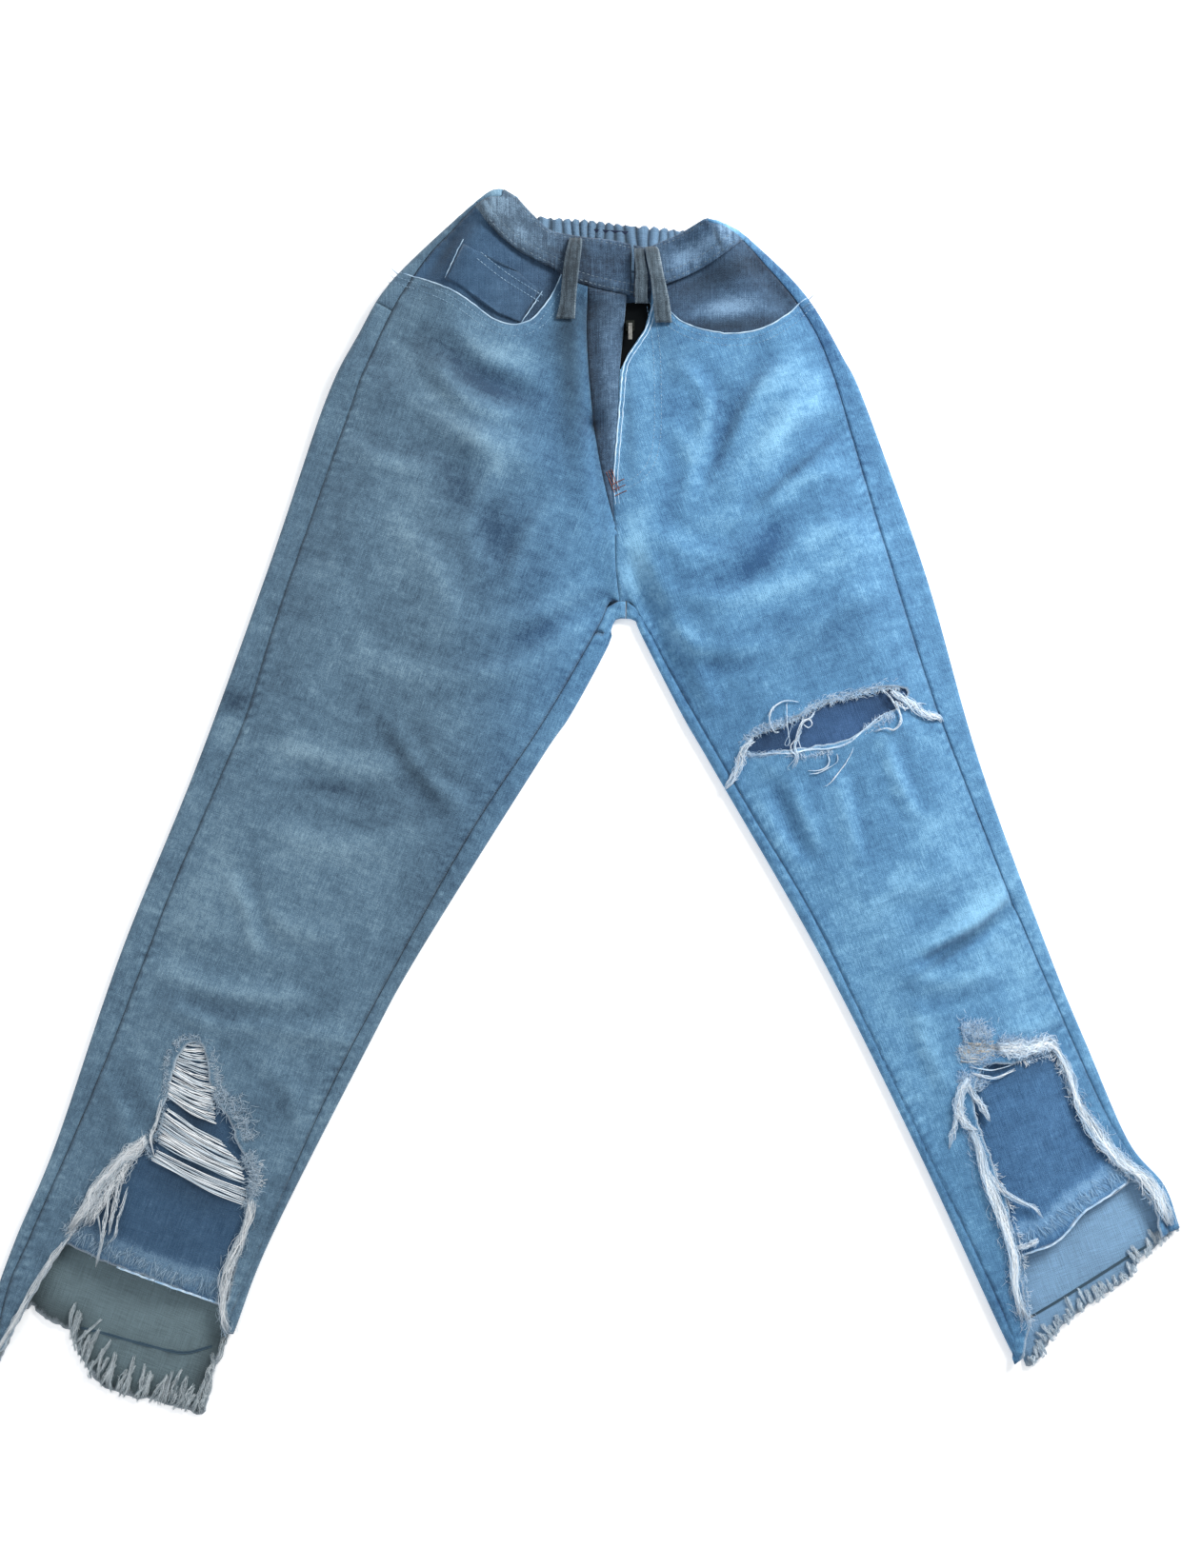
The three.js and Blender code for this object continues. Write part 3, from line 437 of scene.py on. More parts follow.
class Relief:
    """The height of the front layer of the garment above the ground."""

    def __init__(self) -> None:
        """Runs the garment's edges and seams."""
        self.edges = [Curve(p, 10.0) for p in (OUTER_RIGHT, OUTER_LEFT, INNER_RIGHT, INNER_LEFT)]
        self.seams = [Curve(p, 6.0) for p in (OUTSEAM_RIGHT, OUTSEAM_LEFT, INSEAM_RIGHT, INSEAM_LEFT)]

    @staticmethod
    def low(y: Array) -> Array:
        """Height of the folded edge."""
        return 8.0 + 12.0 * smooth((y - 220) / 250)

    def edge_distance(self, xy: Array) -> Array:
        """Distance of points from the nearest folded edge."""
        return np.min([edge.distance(xy) for edge in self.edges], axis=0)

    @staticmethod
    def drift(xy: Array) -> Array:
        """The slow unevenness of cloth that has been worn, about a third of a millimetre."""
        x, y = xy[:, 0], xy[:, 1]
        return (0.22 * np.sin(x / 9.3 + 2 * np.sin(y / 31)) * np.sin(y / 12.7 + 1.5 * np.sin(x / 27))
                + 0.18 * np.sin((x + y) / 17.1 + np.sin(y / 13)) + 0.12 * np.sin((x - 1.7 * y) / 7.7))

    @staticmethod
    def pucker(along: Array, off: Array) -> Array:
        """The roping beside a felled seam, -1 to 1."""
        wave = np.sin(2 * np.pi * (along / 8.5 + 0.3 * np.sin(along / 21)) + 0.35 * off)
        strength = 0.55 + 0.45 * np.sin(along / 37 + 1.3)
        return wave * strength * bell(np.abs(off) - 4.0, 3.6)

    def seam_marks(self, xy: Array) -> tuple[Array, Array]:
        """What the seams do to the cloth beside them.

        Args:
            xy: the points.

        Returns:
            The distance to the nearest seam, and the pucker there.
        """
        least, marks = np.full(len(xy), 1e3), np.zeros(len(xy))
        for seam in self.seams:
            along, off = seam.locate(xy)
            least = np.minimum(least, np.abs(off))
            marks += self.pucker(along, off)
        return least, marks

    def creases(self, xy: Array) -> Array:
        """Height that the small creases add."""
        return CREASE_DEPTH * np.sum([c.height(xy) for c in CREASES], axis=0)

    def height(self, xy: Array, fine: bool = True) -> Array:
        """Height of the upper face of the front layer.

        Args:
            xy: the points.
            fine: False leaves out all but the large folds.

        Returns:
            The heights, in millimetres.
        """
        y = xy[:, 1]
        d = self.edge_distance(xy)
        low = self.low(y)
        full = 15 + 8 * smooth((y + 60) / 260) + 2 * smooth((y - 330) / 120)
        z = low + (full - low) * smooth(d / LOFT_REACH)
        z = z + np.sum([fold.height(xy) for fold in FOLDS], axis=0)
        if fine:
            seam, marks = self.seam_marks(xy)
            calm = smooth(d / 14)
            z = z + self.creases(xy) * calm + self.drift(xy) * calm
            z = z + 0.55 * marks - 0.8 * bell(seam, 1.3)
        middle = low / 2
        return middle + (z - middle) * round_off(d)


# ------------------------------------------------------------------ meshes
@dataclass
class Sheet:
    """A piece of cloth as points, faces and what its finish reads at each point."""

    points: Array
    faces: list[tuple[int, ...]]
    marks: dict[str, Array] = field(default_factory=dict)

    def mark(self, name: str, values: Array | float) -> "Sheet":
        """Stores a number for each point."""
        self.marks[name] = np.broadcast_to(np.asarray(values, float), len(self.points)).copy()
        return self

    def joined(self, other: "Sheet") -> "Sheet":
        """This sheet with another one added."""
        shift = len(self.points)
        faces = self.faces + [tuple(i + shift for i in f) for f in other.faces]
        names = set(self.marks) | set(other.marks)
        marks = {n: np.concatenate([s.marks.get(n, np.zeros(len(s.points))) for s in (self, other)])
                 for n in names}
        return Sheet(np.vstack([self.points, other.points]), faces, marks)

    def thickened(self, thick: float) -> "Sheet":
        """The sheet with a second skin behind it and a rim all round.

        Args:
            thick: the distance between the skins, in millimetres.

        Returns:
            A closed sheet. Its mark "back" is 1 on the second skin.
        """
        p = self.points
        normals = np.zeros_like(p)
        for size in (3, 4):
            f = np.array([g for g in self.faces if len(g) == size], int)
            if len(f):
                corners = [p[f[:, k]] for k in range(size)]
                first = corners[1 if size == 3 else 2] - corners[0]
                n = np.cross(first, corners[-1] - corners[0 if size == 3 else 1])
                for k in range(size):
                    np.add.at(normals, f[:, k], n)
        count = len(p)
        ways: dict[tuple[int, int], int] = {}
        for f in self.faces:
            for a, b in zip(f, f[1:] + f[:1], strict=True):
                ways[(a, b)] = ways.get((a, b), 0) + 1
        rim = [(b, a, a + count, b + count) for a, b in ways if (b, a) not in ways]
        faces = self.faces + [tuple(i + count for i in reversed(f)) for f in self.faces] + rim
        marks = {n: np.concatenate([v, v]) for n, v in self.marks.items()}
        marks["back"] = np.concatenate([np.zeros(count), np.ones(count)])
        return Sheet(np.vstack([p, p - unit(normals) * thick]), faces, marks)


def quads(rows: int, columns: int) -> list[tuple[int, ...]]:
    """Faces between points that lie in rows and columns, numbered row by row."""
    corners = [i * columns + j for i in range(rows - 1) for j in range(columns - 1)]
    return [(i, i + columns, i + columns + 1, i + 1) for i in corners]


def plate(keep: Sequence[Array], remove: Sequence[Array], step: float) -> tuple[Array, list[tuple[int, ...]]]:
    """A fine flat mesh of what is inside some outlines and outside others.

    Args:
        keep: outlines that the cloth lies inside, all of them.
        remove: outlines that are cut out of it.
        step: spacing of the points.

    Returns:
        The points in the plane, and the triangles.
    """
    lines = [np.asarray(o, float) for o in (*keep, *remove)]

    def wanted(places: Array) -> Array:
        """Whether places lie where the cloth is."""
        ok = np.ones(len(places), bool)
        for k, outline in enumerate(lines):
            within = inside(places, outline)
            ok &= within if k < len(keep) else ~within
        return ok

    lo = np.max([o.min(0) for o in lines[:len(keep)]], axis=0)
    hi = np.min([o.max(0) for o in lines[:len(keep)]], axis=0)
    rows = []
    for k, y in enumerate(np.arange(lo[1], hi[1], step * ROW_SHARE)):
        x = np.arange(lo[0] + (k % 2) * step / 2, hi[0], step)
        rows.append(np.column_stack([x, np.full(len(x), y)]))
    grid = np.concatenate(rows)
    grid = grid[wanted(grid)]
    near = np.zeros(len(grid), bool)
    for outline in lines:
        near |= Curve.over(outline).distance(grid) < 0.5 * step
    grid = grid[~near]
    verts = [Vector((x, y)) for x, y in grid]
    edges = []
    for outline in lines:
        first = len(verts)
        verts += [Vector((x, y)) for x, y in outline]
        n = len(outline)
        edges += [(first + i, first + (i + 1) % n) for i in range(n)]
    points, _, faces, *_ = delaunay_2d_cdt(verts, edges, [], 0, 1e-6)
    xy = np.array([tuple(v) for v in points])
    tri = np.array([tuple(f) for f in faces], int)
    tri = tri[wanted(xy[tri].mean(1))]
    used, new = np.unique(tri, return_inverse=True)
    tri = new.reshape(-1, 3)
    xy = xy[used]
    a, b, c = (xy[tri[:, k]] for k in range(3))
    turned = (b - a)[:, 0] * (c - a)[:, 1] - (b - a)[:, 1] * (c - a)[:, 0] < 0
    tri[turned] = tri[turned][:, ::-1]
    return xy, [tuple(int(i) for i in f) for f in tri]


def strands(paths: Array, radius: Array | float, sides: int = 3, taper: float = 0.6, seed: int = 0) -> Sheet:
    """Threads as closed tubes, joined into one mesh.

    Args:
        paths: the points of each thread's middle, as threads x points x 3, in millimetres.
        radius: half the thickness, one for all or one for each.
        sides: number of sides.
        taper: the thickness at a thread's ends against its middle.
        seed: the seed of the tones.

    Returns:
        The tubes, each with its own random mark "tone".
    """
    n, k, _ = paths.shape
    d = unit(np.gradient(paths, axis=1))
    up = np.where(np.abs(d[..., 2:]) < 0.9, [0.0, 0.0, 1.0], [1.0, 0.0, 0.0])
    across = unit(np.cross(d, up))
    over = np.cross(across, d)
    size = taper + (1 - taper) * np.sqrt(np.sin(np.pi * np.linspace(0, 1, k)).clip(0))
    size = np.broadcast_to(radius, (n,))[:, None] * size
    angle = 2 * np.pi * np.arange(sides) / sides
    ring = np.cos(angle)[:, None] * across[:, :, None] + np.sin(angle)[:, None] * over[:, :, None]
    points = paths[:, :, None] + ring * size[..., None, None]
    index = np.arange(n * k * sides).reshape(n, k, sides)
    a, b = index[:, :-1], index[:, 1:]
    sides_of = np.stack([a, np.roll(a, -1, 2), np.roll(b, -1, 2), b], -1).reshape(-1, 4)
    ends = np.concatenate([index[:, 0, ::-1], index[:, -1]])
    tone = np.random.default_rng(seed).random(n).repeat(k * sides)
    return Sheet(points.reshape(-1, 3), sides_of.tolist() + ends.tolist(), {"tone": tone})


# ------------------------------------------------------------------ shader maths
class Value:
    """A number, vector or colour inside a material. Arithmetic on it builds Math nodes."""

    def __init__(self, graph: "Graph", socket: bpy.types.NodeSocket) -> None:
        """Holds one output socket."""
        self.graph = graph
        self.socket = socket

    def _math(self, operation: str, *inputs: "Value | float") -> "Value":
        """Adds one Math node."""
        return self.graph.maths(operation, *inputs)

    @staticmethod
    def _operator(operation: str, swapped: bool = False) -> "Callable[[Value, Value | float], Value]":
        """What an arithmetic sign does: one Math node, with its inputs the other way round where swapped."""
        if swapped:
            return lambda self, other: self._math(operation, other, self)
        return lambda self, other: self._math(operation, self, other)

    __add__, __radd__ = _operator("ADD"), _operator("ADD", True)
    __sub__, __rsub__ = _operator("SUBTRACT"), _operator("SUBTRACT", True)
    __mul__, __rmul__ = _operator("MULTIPLY"), _operator("MULTIPLY", True)

    def sine(self) -> "Value":
        """The sine."""
        return self._math("SINE", self)

    def clamped(self) -> "Value":
        """The value kept from 0 to 1."""
        return self._math("MINIMUM", self._math("MAXIMUM", self, 0.0), 1.0)

    def span(self, low: float, high: float) -> "Value":
        """A soft step, 0 at low and 1 at high."""
        node = self.graph.node("ShaderNodeMapRange", {"interpolation_type": "SMOOTHSTEP"},
                               {0: self, 1: low, 2: high, 3: 0.0, 4: 1.0})
        return Value(self.graph, node.outputs[0])


class Graph:
    """The nodes of one material."""

    def __init__(self, name: str) -> None:
        """Makes a material with a Principled shader."""
        self.material = bpy.data.materials.new(name)
        self.material.use_nodes = True
        self.tree = self.material.node_tree
        self.shader = self.tree.nodes["Principled BSDF"]

    def put(self, socket: bpy.types.NodeSocket, value: "Value | float | Sequence[float]") -> None:
        """Links or sets an input socket."""
        if isinstance(value, Value):
            self.tree.links.new(value.socket, socket)
        else:
            socket.default_value = value

    def node(self, kind: str, settings: dict | None = None, inputs: dict | None = None) -> bpy.types.Node:
        """Adds a node.

        Args:
            kind: its type.
            settings: its properties, which are set first.
            inputs: what goes into its sockets, by number or name.

        Returns:
            The node.
        """
        node = self.tree.nodes.new(kind)
        for key, value in (settings or {}).items():
            setattr(node, key, value)
        for key, value in (inputs or {}).items():
            self.put(node.inputs[key], value)
        return node

    def maths(self, operation: str, *inputs: "Value | float") -> Value:
        """One Math node."""
        node = self.node("ShaderNodeMath", {"operation": operation}, dict(enumerate(inputs)))
        return Value(self, node.outputs[0])

    def attribute(self, name: str) -> Value:
        """A number stored on the mesh."""
        node = self.node("ShaderNodeAttribute", {"attribute_name": name})
        return Value(self, node.outputs["Fac"])

    def vector(self, x: Value | float, y: Value | float, z: Value | float = 0.0) -> Value:
        """Three numbers as a vector."""
        return Value(self, self.node("ShaderNodeCombineXYZ", None, {0: x, 1: y, 2: z}).outputs[0])

    def place(self) -> Value:
        """The object's own coordinates, in metres."""
        return Value(self, self.node("ShaderNodeTexCoord").outputs["Object"])

    def noise(self, vector: Value, scale: float, detail: float = 2.0, rough: float = 0.5) -> Value:
        """Noise from 0 to 1."""
        node = self.node("ShaderNodeTexNoise", None,
                         {"Vector": vector, "Scale": scale, "Detail": detail, "Roughness": rough})
        return Value(self, node.outputs["Fac"])

    def mix(self, factor: Value | float, a: Value | Sequence[float], b: Value | Sequence[float],
            blend: str = "MIX") -> Value:
        """A colour between two, or their product where the blend is MULTIPLY."""
        settings = {"data_type": "RGBA", "blend_type": blend}
        return Value(self, self.node("ShaderNodeMix", settings, {0: factor, 6: a, 7: b}).outputs[2])

    def shade(self, **inputs: Value | float | Sequence[float]) -> None:
        """Sets the shader's inputs, each named with _ for every space."""
        for name, value in inputs.items():
            self.put(self.shader.inputs[name.replace("_", " ")], value)

    def bump(self, height: Value, distance: float, strength: float) -> None:
        """Sends a height to the shader's normal."""
        inputs = {"Strength": strength, "Distance": distance, "Height": height}
        node = self.node("ShaderNodeBump", None, inputs)
        self.tree.links.new(node.outputs["Normal"], self.shader.inputs["Normal"])


def rgb(*display: float) -> tuple[float, float, float, float]:
    """A display colour, 0 to 255, as a linear one."""
    shares = [v / 255 for v in display]
    red, green, blue = (s / 12.92 if s <= 0.04045 else ((s + 0.055) / 1.055) ** 2.4 for s in shares)
    return red, green, blue, 1.0


def grey(value: float) -> tuple[float, float, float, float]:
    """A linear grey."""
    return value, value, value, 1.0


# ------------------------------------------------------------------ finishes
class Slot(Enum):
    """The record's material slots."""

    DENIM = "denim"
    INSIDE = "denim_inside"
    PATCH = "denim_patch"
    TAPE = "zip_tape"
    METAL = "zip_metal"
    LABEL = "label"


@dataclass(frozen=True)
class Shades:
    """Three tones of a washed cloth, as display colours."""

    dark: Colour
    middle: Colour
    light: Colour


@dataclass(frozen=True)
class Denim:
    """Washed denim, greyer and darker on the right side of the garment than on the left: painted shade on
    that side.
    """

    name: str
    right: Shades
    left: Shades
    wash_and_light: float = 0.5
    slub: float = 0.5
    # The reverse's two colours are likewise the shaded right side and the lit left side: painted shade on the
    # right.
    inside: tuple[Colour, Colour] = ((106, 124, 128), (132, 168, 200))  # its reverse, on either side

    @staticmethod
    def tones(g: Graph, shades: Shades, amount: Value) -> Value:
        """The colour for a worn amount from 0 to 1, which also holds painted highlights and shade."""
        low = g.mix((amount * 2).clamped(), rgb(*shades.dark), rgb(*shades.middle))
        return g.mix((amount * 2 - 1).clamped(), low, rgb(*shades.light))

    def material(self) -> bpy.types.Material:
        """Builds the material."""
        g = Graph(self.name)
        u, v, x = g.attribute("grain_u"), g.attribute("grain_v"), g.attribute("side")
        grain = g.vector(u, v, 0.0)
        slub = g.noise(g.vector(u * 1.25, v * 0.045), 1.0, 2.0) - 0.5
        weft = g.noise(g.vector(u * 0.06, v * 1.3), 1.0, 1.0) - 0.5
        salt = g.noise(grain, 1.3, 1.0) - 0.5
        fleck = g.noise(g.vector(u * 0.55, v * 0.30), 1.0, 2.0, 0.6) - 0.5
        cloud = g.noise(grain, 0.02, 4.0, 0.6) - 0.5
        blotch = g.noise(grain, 0.11, 3.0, 0.65) - 0.5
        ladder = g.noise(g.vector(u * 0.02, v * 0.16), 1.0, 2.0) - 0.5
        fray, pucker = g.attribute("fray"), g.attribute("pucker")
        # The worn amount holds fading and painted highlights and shade; the crease term adds painted
        # highlights on ridges and painted shade in troughs.
        amount = (g.attribute("wear") * self.wash_and_light + g.attribute("crest") * 0.17 + pucker * 0.16
                  + cloud * 0.66 + blotch * 0.62 + ladder * 0.24 + fleck * 0.55
                  + (slub * 0.95 + weft * 0.36 + salt * 1.1) * self.slub
                  - g.attribute("seam") * 0.12).clamped()
        # The right side's greyer, darker tones are painted shade; the left's are the same cloth lit.
        side = x.span(-150.0, 60.0)
        colour = g.mix(side, self.tones(g, self.right, amount), self.tones(g, self.left, amount))
        back = g.attribute("back")
        reverse = g.mix(side, rgb(*self.inside[0]), rgb(*self.inside[1]))
        shade = (0.74 + (slub + weft) * 0.9 + cloud * 0.5).clamped()
        reverse = g.mix(1.0, reverse, g.mix(shade, grey(0.45), grey(1.2)), "MULTIPLY")
        colour = g.mix((back * 0.9).clamped(), colour, reverse)
        shadow = 1 - g.attribute("shade")
        colour = g.mix(1.0, colour, g.vector(shadow * 0.96, shadow * 0.98, shadow), "MULTIPLY")
        hair = g.noise(g.vector(u * 1.1, v * 1.1), 1.0, 3.0, 0.7)
        white = (fray * 1.7 - hair * 1.7).clamped()
        colour = g.mix(white * 0.8, colour, rgb(196, 208, 218))
        g.shade(Base_Color=colour, Roughness=0.92, Specular_IOR_Level=0.18)
        g.shade(Sheen_Weight=0.12, Sheen_Roughness=0.6)
        twill = ((u + v * 0.55) * (2 * math.pi / TWILL_PITCH)).sine()
        rough = slub * 1.6 + weft * 1.0 + salt * 2.2 + twill * 0.16 + hair * fray * 1.5
        g.bump(rough, 0.00042, 0.75)
        return g.material


@dataclass(frozen=True)
class Yarn:
    """Loose cotton thread, each one its own tone."""

    name: str
    low: Colour
    high: Colour

    def material(self) -> bpy.types.Material:
        """Builds the material."""
        g = Graph(self.name)
        tone = g.attribute("tone")
        twist = g.noise(g.place(), 900.0, 1.0) - 0.5
        colour = g.mix((tone + twist * 0.3).clamped(), rgb(*self.low), rgb(*self.high))
        g.shade(Base_Color=colour, Roughness=0.9, Specular_IOR_Level=0.2)
        return g.material


@dataclass(frozen=True)
class Plain:
    """An even woven finish, such as a zip's tape or a label."""

    name: str
    colour: Colour
    roughness: float = 0.8

    def material(self) -> bpy.types.Material:
        """Builds the material."""
        g = Graph(self.name)
        weave = g.noise(g.place(), 900.0, 2.0)
        dark, light = (rgb(*[c * share for c in self.colour]) for share in (0.8, 1.12))
        g.shade(Base_Color=g.mix(weave, dark, light), Roughness=self.roughness, Specular_IOR_Level=0.05)
        g.bump(weave, 0.0002, 0.6)
        return g.material


@dataclass(frozen=True)
class Brass:
    """Worn zip metal."""

    name: str
    colour: Colour

    def material(self) -> bpy.types.Material:
        """Builds the material."""
        g = Graph(self.name)
        worn = g.noise(g.place(), 700.0, 3.0)
        colour = g.mix(worn, rgb(*[c * 0.6 for c in self.colour]), rgb(*self.colour))
        g.shade(Base_Color=colour, Metallic=1.0, Roughness=worn * 0.25 + 0.25)
        return g.material


# In each pair below the greyer tones go on the right side and the bluer ones on the left: one cloth shaded
# and lit, so painted shade on the right.
SHADED_BLUE_GREY = Shades((46, 68, 88), (92, 120, 140), (142, 170, 186))
LIT_BRIGHT_BLUE = Shades((46, 86, 126), (92, 142, 181), (146, 198, 230))
SHADED_DARK_GREY = Shades((34, 44, 52), (70, 86, 98), (124, 146, 162))
LIT_DARK_BLUE = Shades((36, 54, 76), (74, 102, 130), (128, 160, 190))
LOOP_GREY = Shades((42, 52, 60), (82, 97, 108), (150, 165, 176))
SHADED_PATCH_GREY = Shades((44, 74, 102), (66, 96, 124), (112, 142, 166))
LIT_PATCH_BLUE = Shades((50, 88, 126), (80, 124, 166), (128, 170, 206))
SLASH_BLUE = Shades((44, 76, 114), (64, 98, 140), (104, 140, 180))


# ------------------------------------------------------------------ fading, and painted light and shade
@dataclass(frozen=True)
class FadeAndShade:
    """A soft place that is paler, or darker where the amount is below zero. Among the worn places some are
    fading and some are painted highlights and shade along creases; in the shadow lists each is painted shade.
    """

    at: Point
    half: tuple[float, float]  # half its length along its turn, and across
    turn: float  # degrees from +X
    amount: float

    def value(self, xy: Array) -> Array:
        """What the place adds at points, to the worn amount or to the painted shade, by the list it is in."""
        c, s = math.cos(math.radians(self.turn)), math.sin(math.radians(self.turn))
        d = xy - self.at
        along, across = d @ (c, s) / self.half[0], d @ (-s, c) / self.half[1]
        return self.amount * np.exp(-along**2 - across**2)


# Fading left by the washing, and painted highlights and painted shade along creases and on the left pocket
# facing.
WEAR_AND_LIGHT = (
    FadeAndShade((-150, 190), (150, 42), 72, 0.05),
    # painted highlights and painted shade across the right hip, on its fold ridges and in its troughs
    FadeAndShade((-64, 357), (32, 9), -8, 0.42),
    FadeAndShade((-98, 336), (50, 14), -34, -0.50),
    FadeAndShade((-103, 290), (66, 10), -47, 0.42),
    FadeAndShade((-106, 234), (50, 14), -53, -0.50),
    FadeAndShade((-50, 246), (44, 15), -50, 0.22),
    FadeAndShade((-170, 330), (34, 12), -60, -0.20),
    FadeAndShade((-205, 80), (90, 40), 70, 0.04),
    FadeAndShade((-60, 150), (90, 40), 60, -0.20),
    FadeAndShade((-60, 60), (90, 30), 58, -0.16),
    FadeAndShade((-310, -90), (110, 52), 68, 0.30),
    FadeAndShade((-230, -110), (70, 36), 62, 0.30),
    FadeAndShade((-120, -60), (70, 22), 58, -0.16),
    FadeAndShade((-215, -240), (90, 22), 62, 0.10),
    # painted shade in the right knee's crease troughs, and a painted highlight on the ridge above them
    FadeAndShade((-152, 22), (54, 9), -54, -0.60),
    FadeAndShade((-210, -5), (36, 5), -8, -0.50),
    FadeAndShade((-240, 26), (38, 6), -6, 0.42),
    FadeAndShade((-290, -120), (42, 10), -12, 0.30),
    FadeAndShade((-290, 68), (12, 9), 0, -0.80),
    FadeAndShade((-299, 44), (12, 12), 0, 0.40),
    # painted highlight on the ridge of the left shin's crease
    FadeAndShade((296, -111), (46, 6), 34, 0.60),
    FadeAndShade((262, -60), (50, 9), 50, 0.30),
    FadeAndShade((-130, 380), (60, 30), 20, -0.05),
    FadeAndShade((-34, 330), (18, 60), 0, -0.22),
    FadeAndShade((16, 300), (10, 90), 0, 0.40),
    FadeAndShade((48, 300), (90, 10), 94, 0.30),
    FadeAndShade((38, 190), (44, 12), 84, 0.85),
    FadeAndShade((174, 414), (76, 15), -54, -0.55),
    FadeAndShade((205, 345), (50, 10), -66, -0.3),
    FadeAndShade((232, 262), (60, 10), -66, -0.25),
    FadeAndShade((140, 300), (90, 50), 110, 0.22),
    FadeAndShade((190, 200), (70, 40), 105, 0.06),
    FadeAndShade((70, 250), (40, 60), 0, -0.14),
    FadeAndShade((90, 106), (70, 20), 118, -0.16),
    FadeAndShade((92, 322), (26, 20), 0, -0.40),
    FadeAndShade((156, 290), (24, 16), 60, 0.30),
    FadeAndShade((90, 208), (32, 13), 22, 0.50),
    FadeAndShade((136, 187), (38, 19), 42, -0.70),
    # painted shade along two creases of the left hip
    FadeAndShade((166, 256), (44, 7), 43, -0.46),
    FadeAndShade((119, 298), (50, 8), 65, -0.40),
    FadeAndShade((167, 164), (74, 9), 26, 0.36),
    FadeAndShade((150, 128), (60, 12), 24, -0.24),
    FadeAndShade((54, 150), (62, 6), 109, 0.40),
    FadeAndShade((220, 110), (60, 60), 0, -0.12),
    FadeAndShade((240, -20), (60, 60), 0, 0.04),
    FadeAndShade((330, -120), (110, 46), 112, 0.36),
    FadeAndShade((250, -110), (60, 30), 118, 0.08),
    FadeAndShade((180, -60), (70, 18), 118, -0.10),
    FadeAndShade((232, -166), (110, 30), 116, 0.40),
    FadeAndShade((-36, 240), (90, 26), 80, -0.24),
    FadeAndShade((-440, -330), (60, 16), 68, 0.34),
    FadeAndShade((-282, -400), (60, 18), 68, 0.25),
    FadeAndShade((0, 430), (70, 26), 0, -0.42),
    FadeAndShade((-81, 476), (20, 12), 30, 0.9),
    FadeAndShade((-54, 457), (18, 9), -30, 0.75),
    FadeAndShade((78, 438), (26, 9), 20, 1.1),
    FadeAndShade((112, 459), (16, 10), 40, 0.9),
    # painted highlight on the left pocket facing
    FadeAndShade((118, 398), (27, 9), 8, 1.7),
)


SHADOWS = (
    FadeAndShade((-16, 348), (86, 14), 92, 0.62),
    FadeAndShade((-30, 372), (34, 16), 70, 0.22),
    FadeAndShade((8, 398), (26, 22), 0, 0.32),
    FadeAndShade((2, 320), (110, 3), 95, 0.30),
    FadeAndShade((60, 378), (12, 24), 0, 0.30),
    FadeAndShade((74, 350), (30, 12), 60, 0.16),
    FadeAndShade((24, 154), (34, 10), 0, 0.14),
    FadeAndShade((-130, 330), (70, 16), 115, 0.12),
    FadeAndShade((118, 330), (60, 15), 62, 0.14),
    FadeAndShade((180, 110), (50, 22), 20, 0.10),
    FadeAndShade((304, -127), (46, 3.6), 34, 0.42),
    FadeAndShade((31, 300), (76, 6), 94, 0.20),
    FadeAndShade((118, 294), (52, 4.5), 65, 0.20),
    FadeAndShade((164, 254), (46, 4.0), 43, 0.24),
    FadeAndShade((-150, 18), (50, 5), -54, 0.16),
)
UNDER_SHADOWS = (
    FadeAndShade((-316, -267), (26, 11), -31, 0.5),
    FadeAndShade((-314, -305), (36, 10), -29, 0.42),
    FadeAndShade((-315, -324), (44, 12), -25, 0.26),
    FadeAndShade((-317, -234), (14, 26), 0, 0.34),
    FadeAndShade((-392, -352), (14, 26), -40, 0.25),
    FadeAndShade((322, -228), (16, 8), 0, 0.45),
    FadeAndShade((306, -262), (9, 26), 0, 0.34),
    FadeAndShade((398, -272), (40, 9), -58, 0.25),
    FadeAndShade((356, -228), (26, 8), 0, 0.16),
    FadeAndShade((146, 33), (28, 13), 15, 0.40),
    FadeAndShade((200, 66), (60, 8), 15, 0.24),
    FadeAndShade((243, 64), (16, 14), 20, 0.34),
)


BAND_SHADOWS = (
    FadeAndShade((35.3, 430), (40, 1.9), 92, 0.8),
    FadeAndShade((41, 425), (34, 6), 92, 0.45),
    FadeAndShade((-13, 456), (9, 14), 0, 0.34),
    FadeAndShade((-4, 425), (34, 4), 92, 0.34),
    FadeAndShade((54, 430), (30, 10), 90, 0.36),
    FadeAndShade((12, 414), (44, 4), -12, 0.36),
    FadeAndShade((15, 440), (24, 14), 0, 0.16),
    FadeAndShade((104, 450), (15, 2.0), -67, 0.6),
    FadeAndShade((-88, 469), (13, 2.0), -56, 0.5),
    FadeAndShade((-30, 446), (14, 3), -24, 0.3),
)
FACING_SHADOWS = (
    FadeAndShade((115, 381), (66, 7), 4, 0.56),
    FadeAndShade((110, 424), (50, 11), 22, 0.50),
    FadeAndShade((160, 412), (30, 16), -40, 0.24),
    FadeAndShade((-90, 393), (54, 5), -24, 0.30),
    FadeAndShade((-118, 446), (26, 7), 60, 0.4),
    FadeAndShade((-44, 398), (26, 6), 60, 0.36),
)


# ------------------------------------------------------------------ cutting and placing
@dataclass(frozen=True)
class Leg:
    """One leg's direction, which its cloth's grain follows."""

    lean: float  # degrees that its lower end leans out
    way: int  # -1 for the right leg, 1 for the left

    def grain(self, xy: Array) -> tuple[Array, Array]:
        """Points in the cloth's own directions, across and along its warp."""
        a = math.radians(self.lean) * self.way
        return xy @ (math.cos(a), math.sin(a)), xy @ (-math.sin(a), math.cos(a))


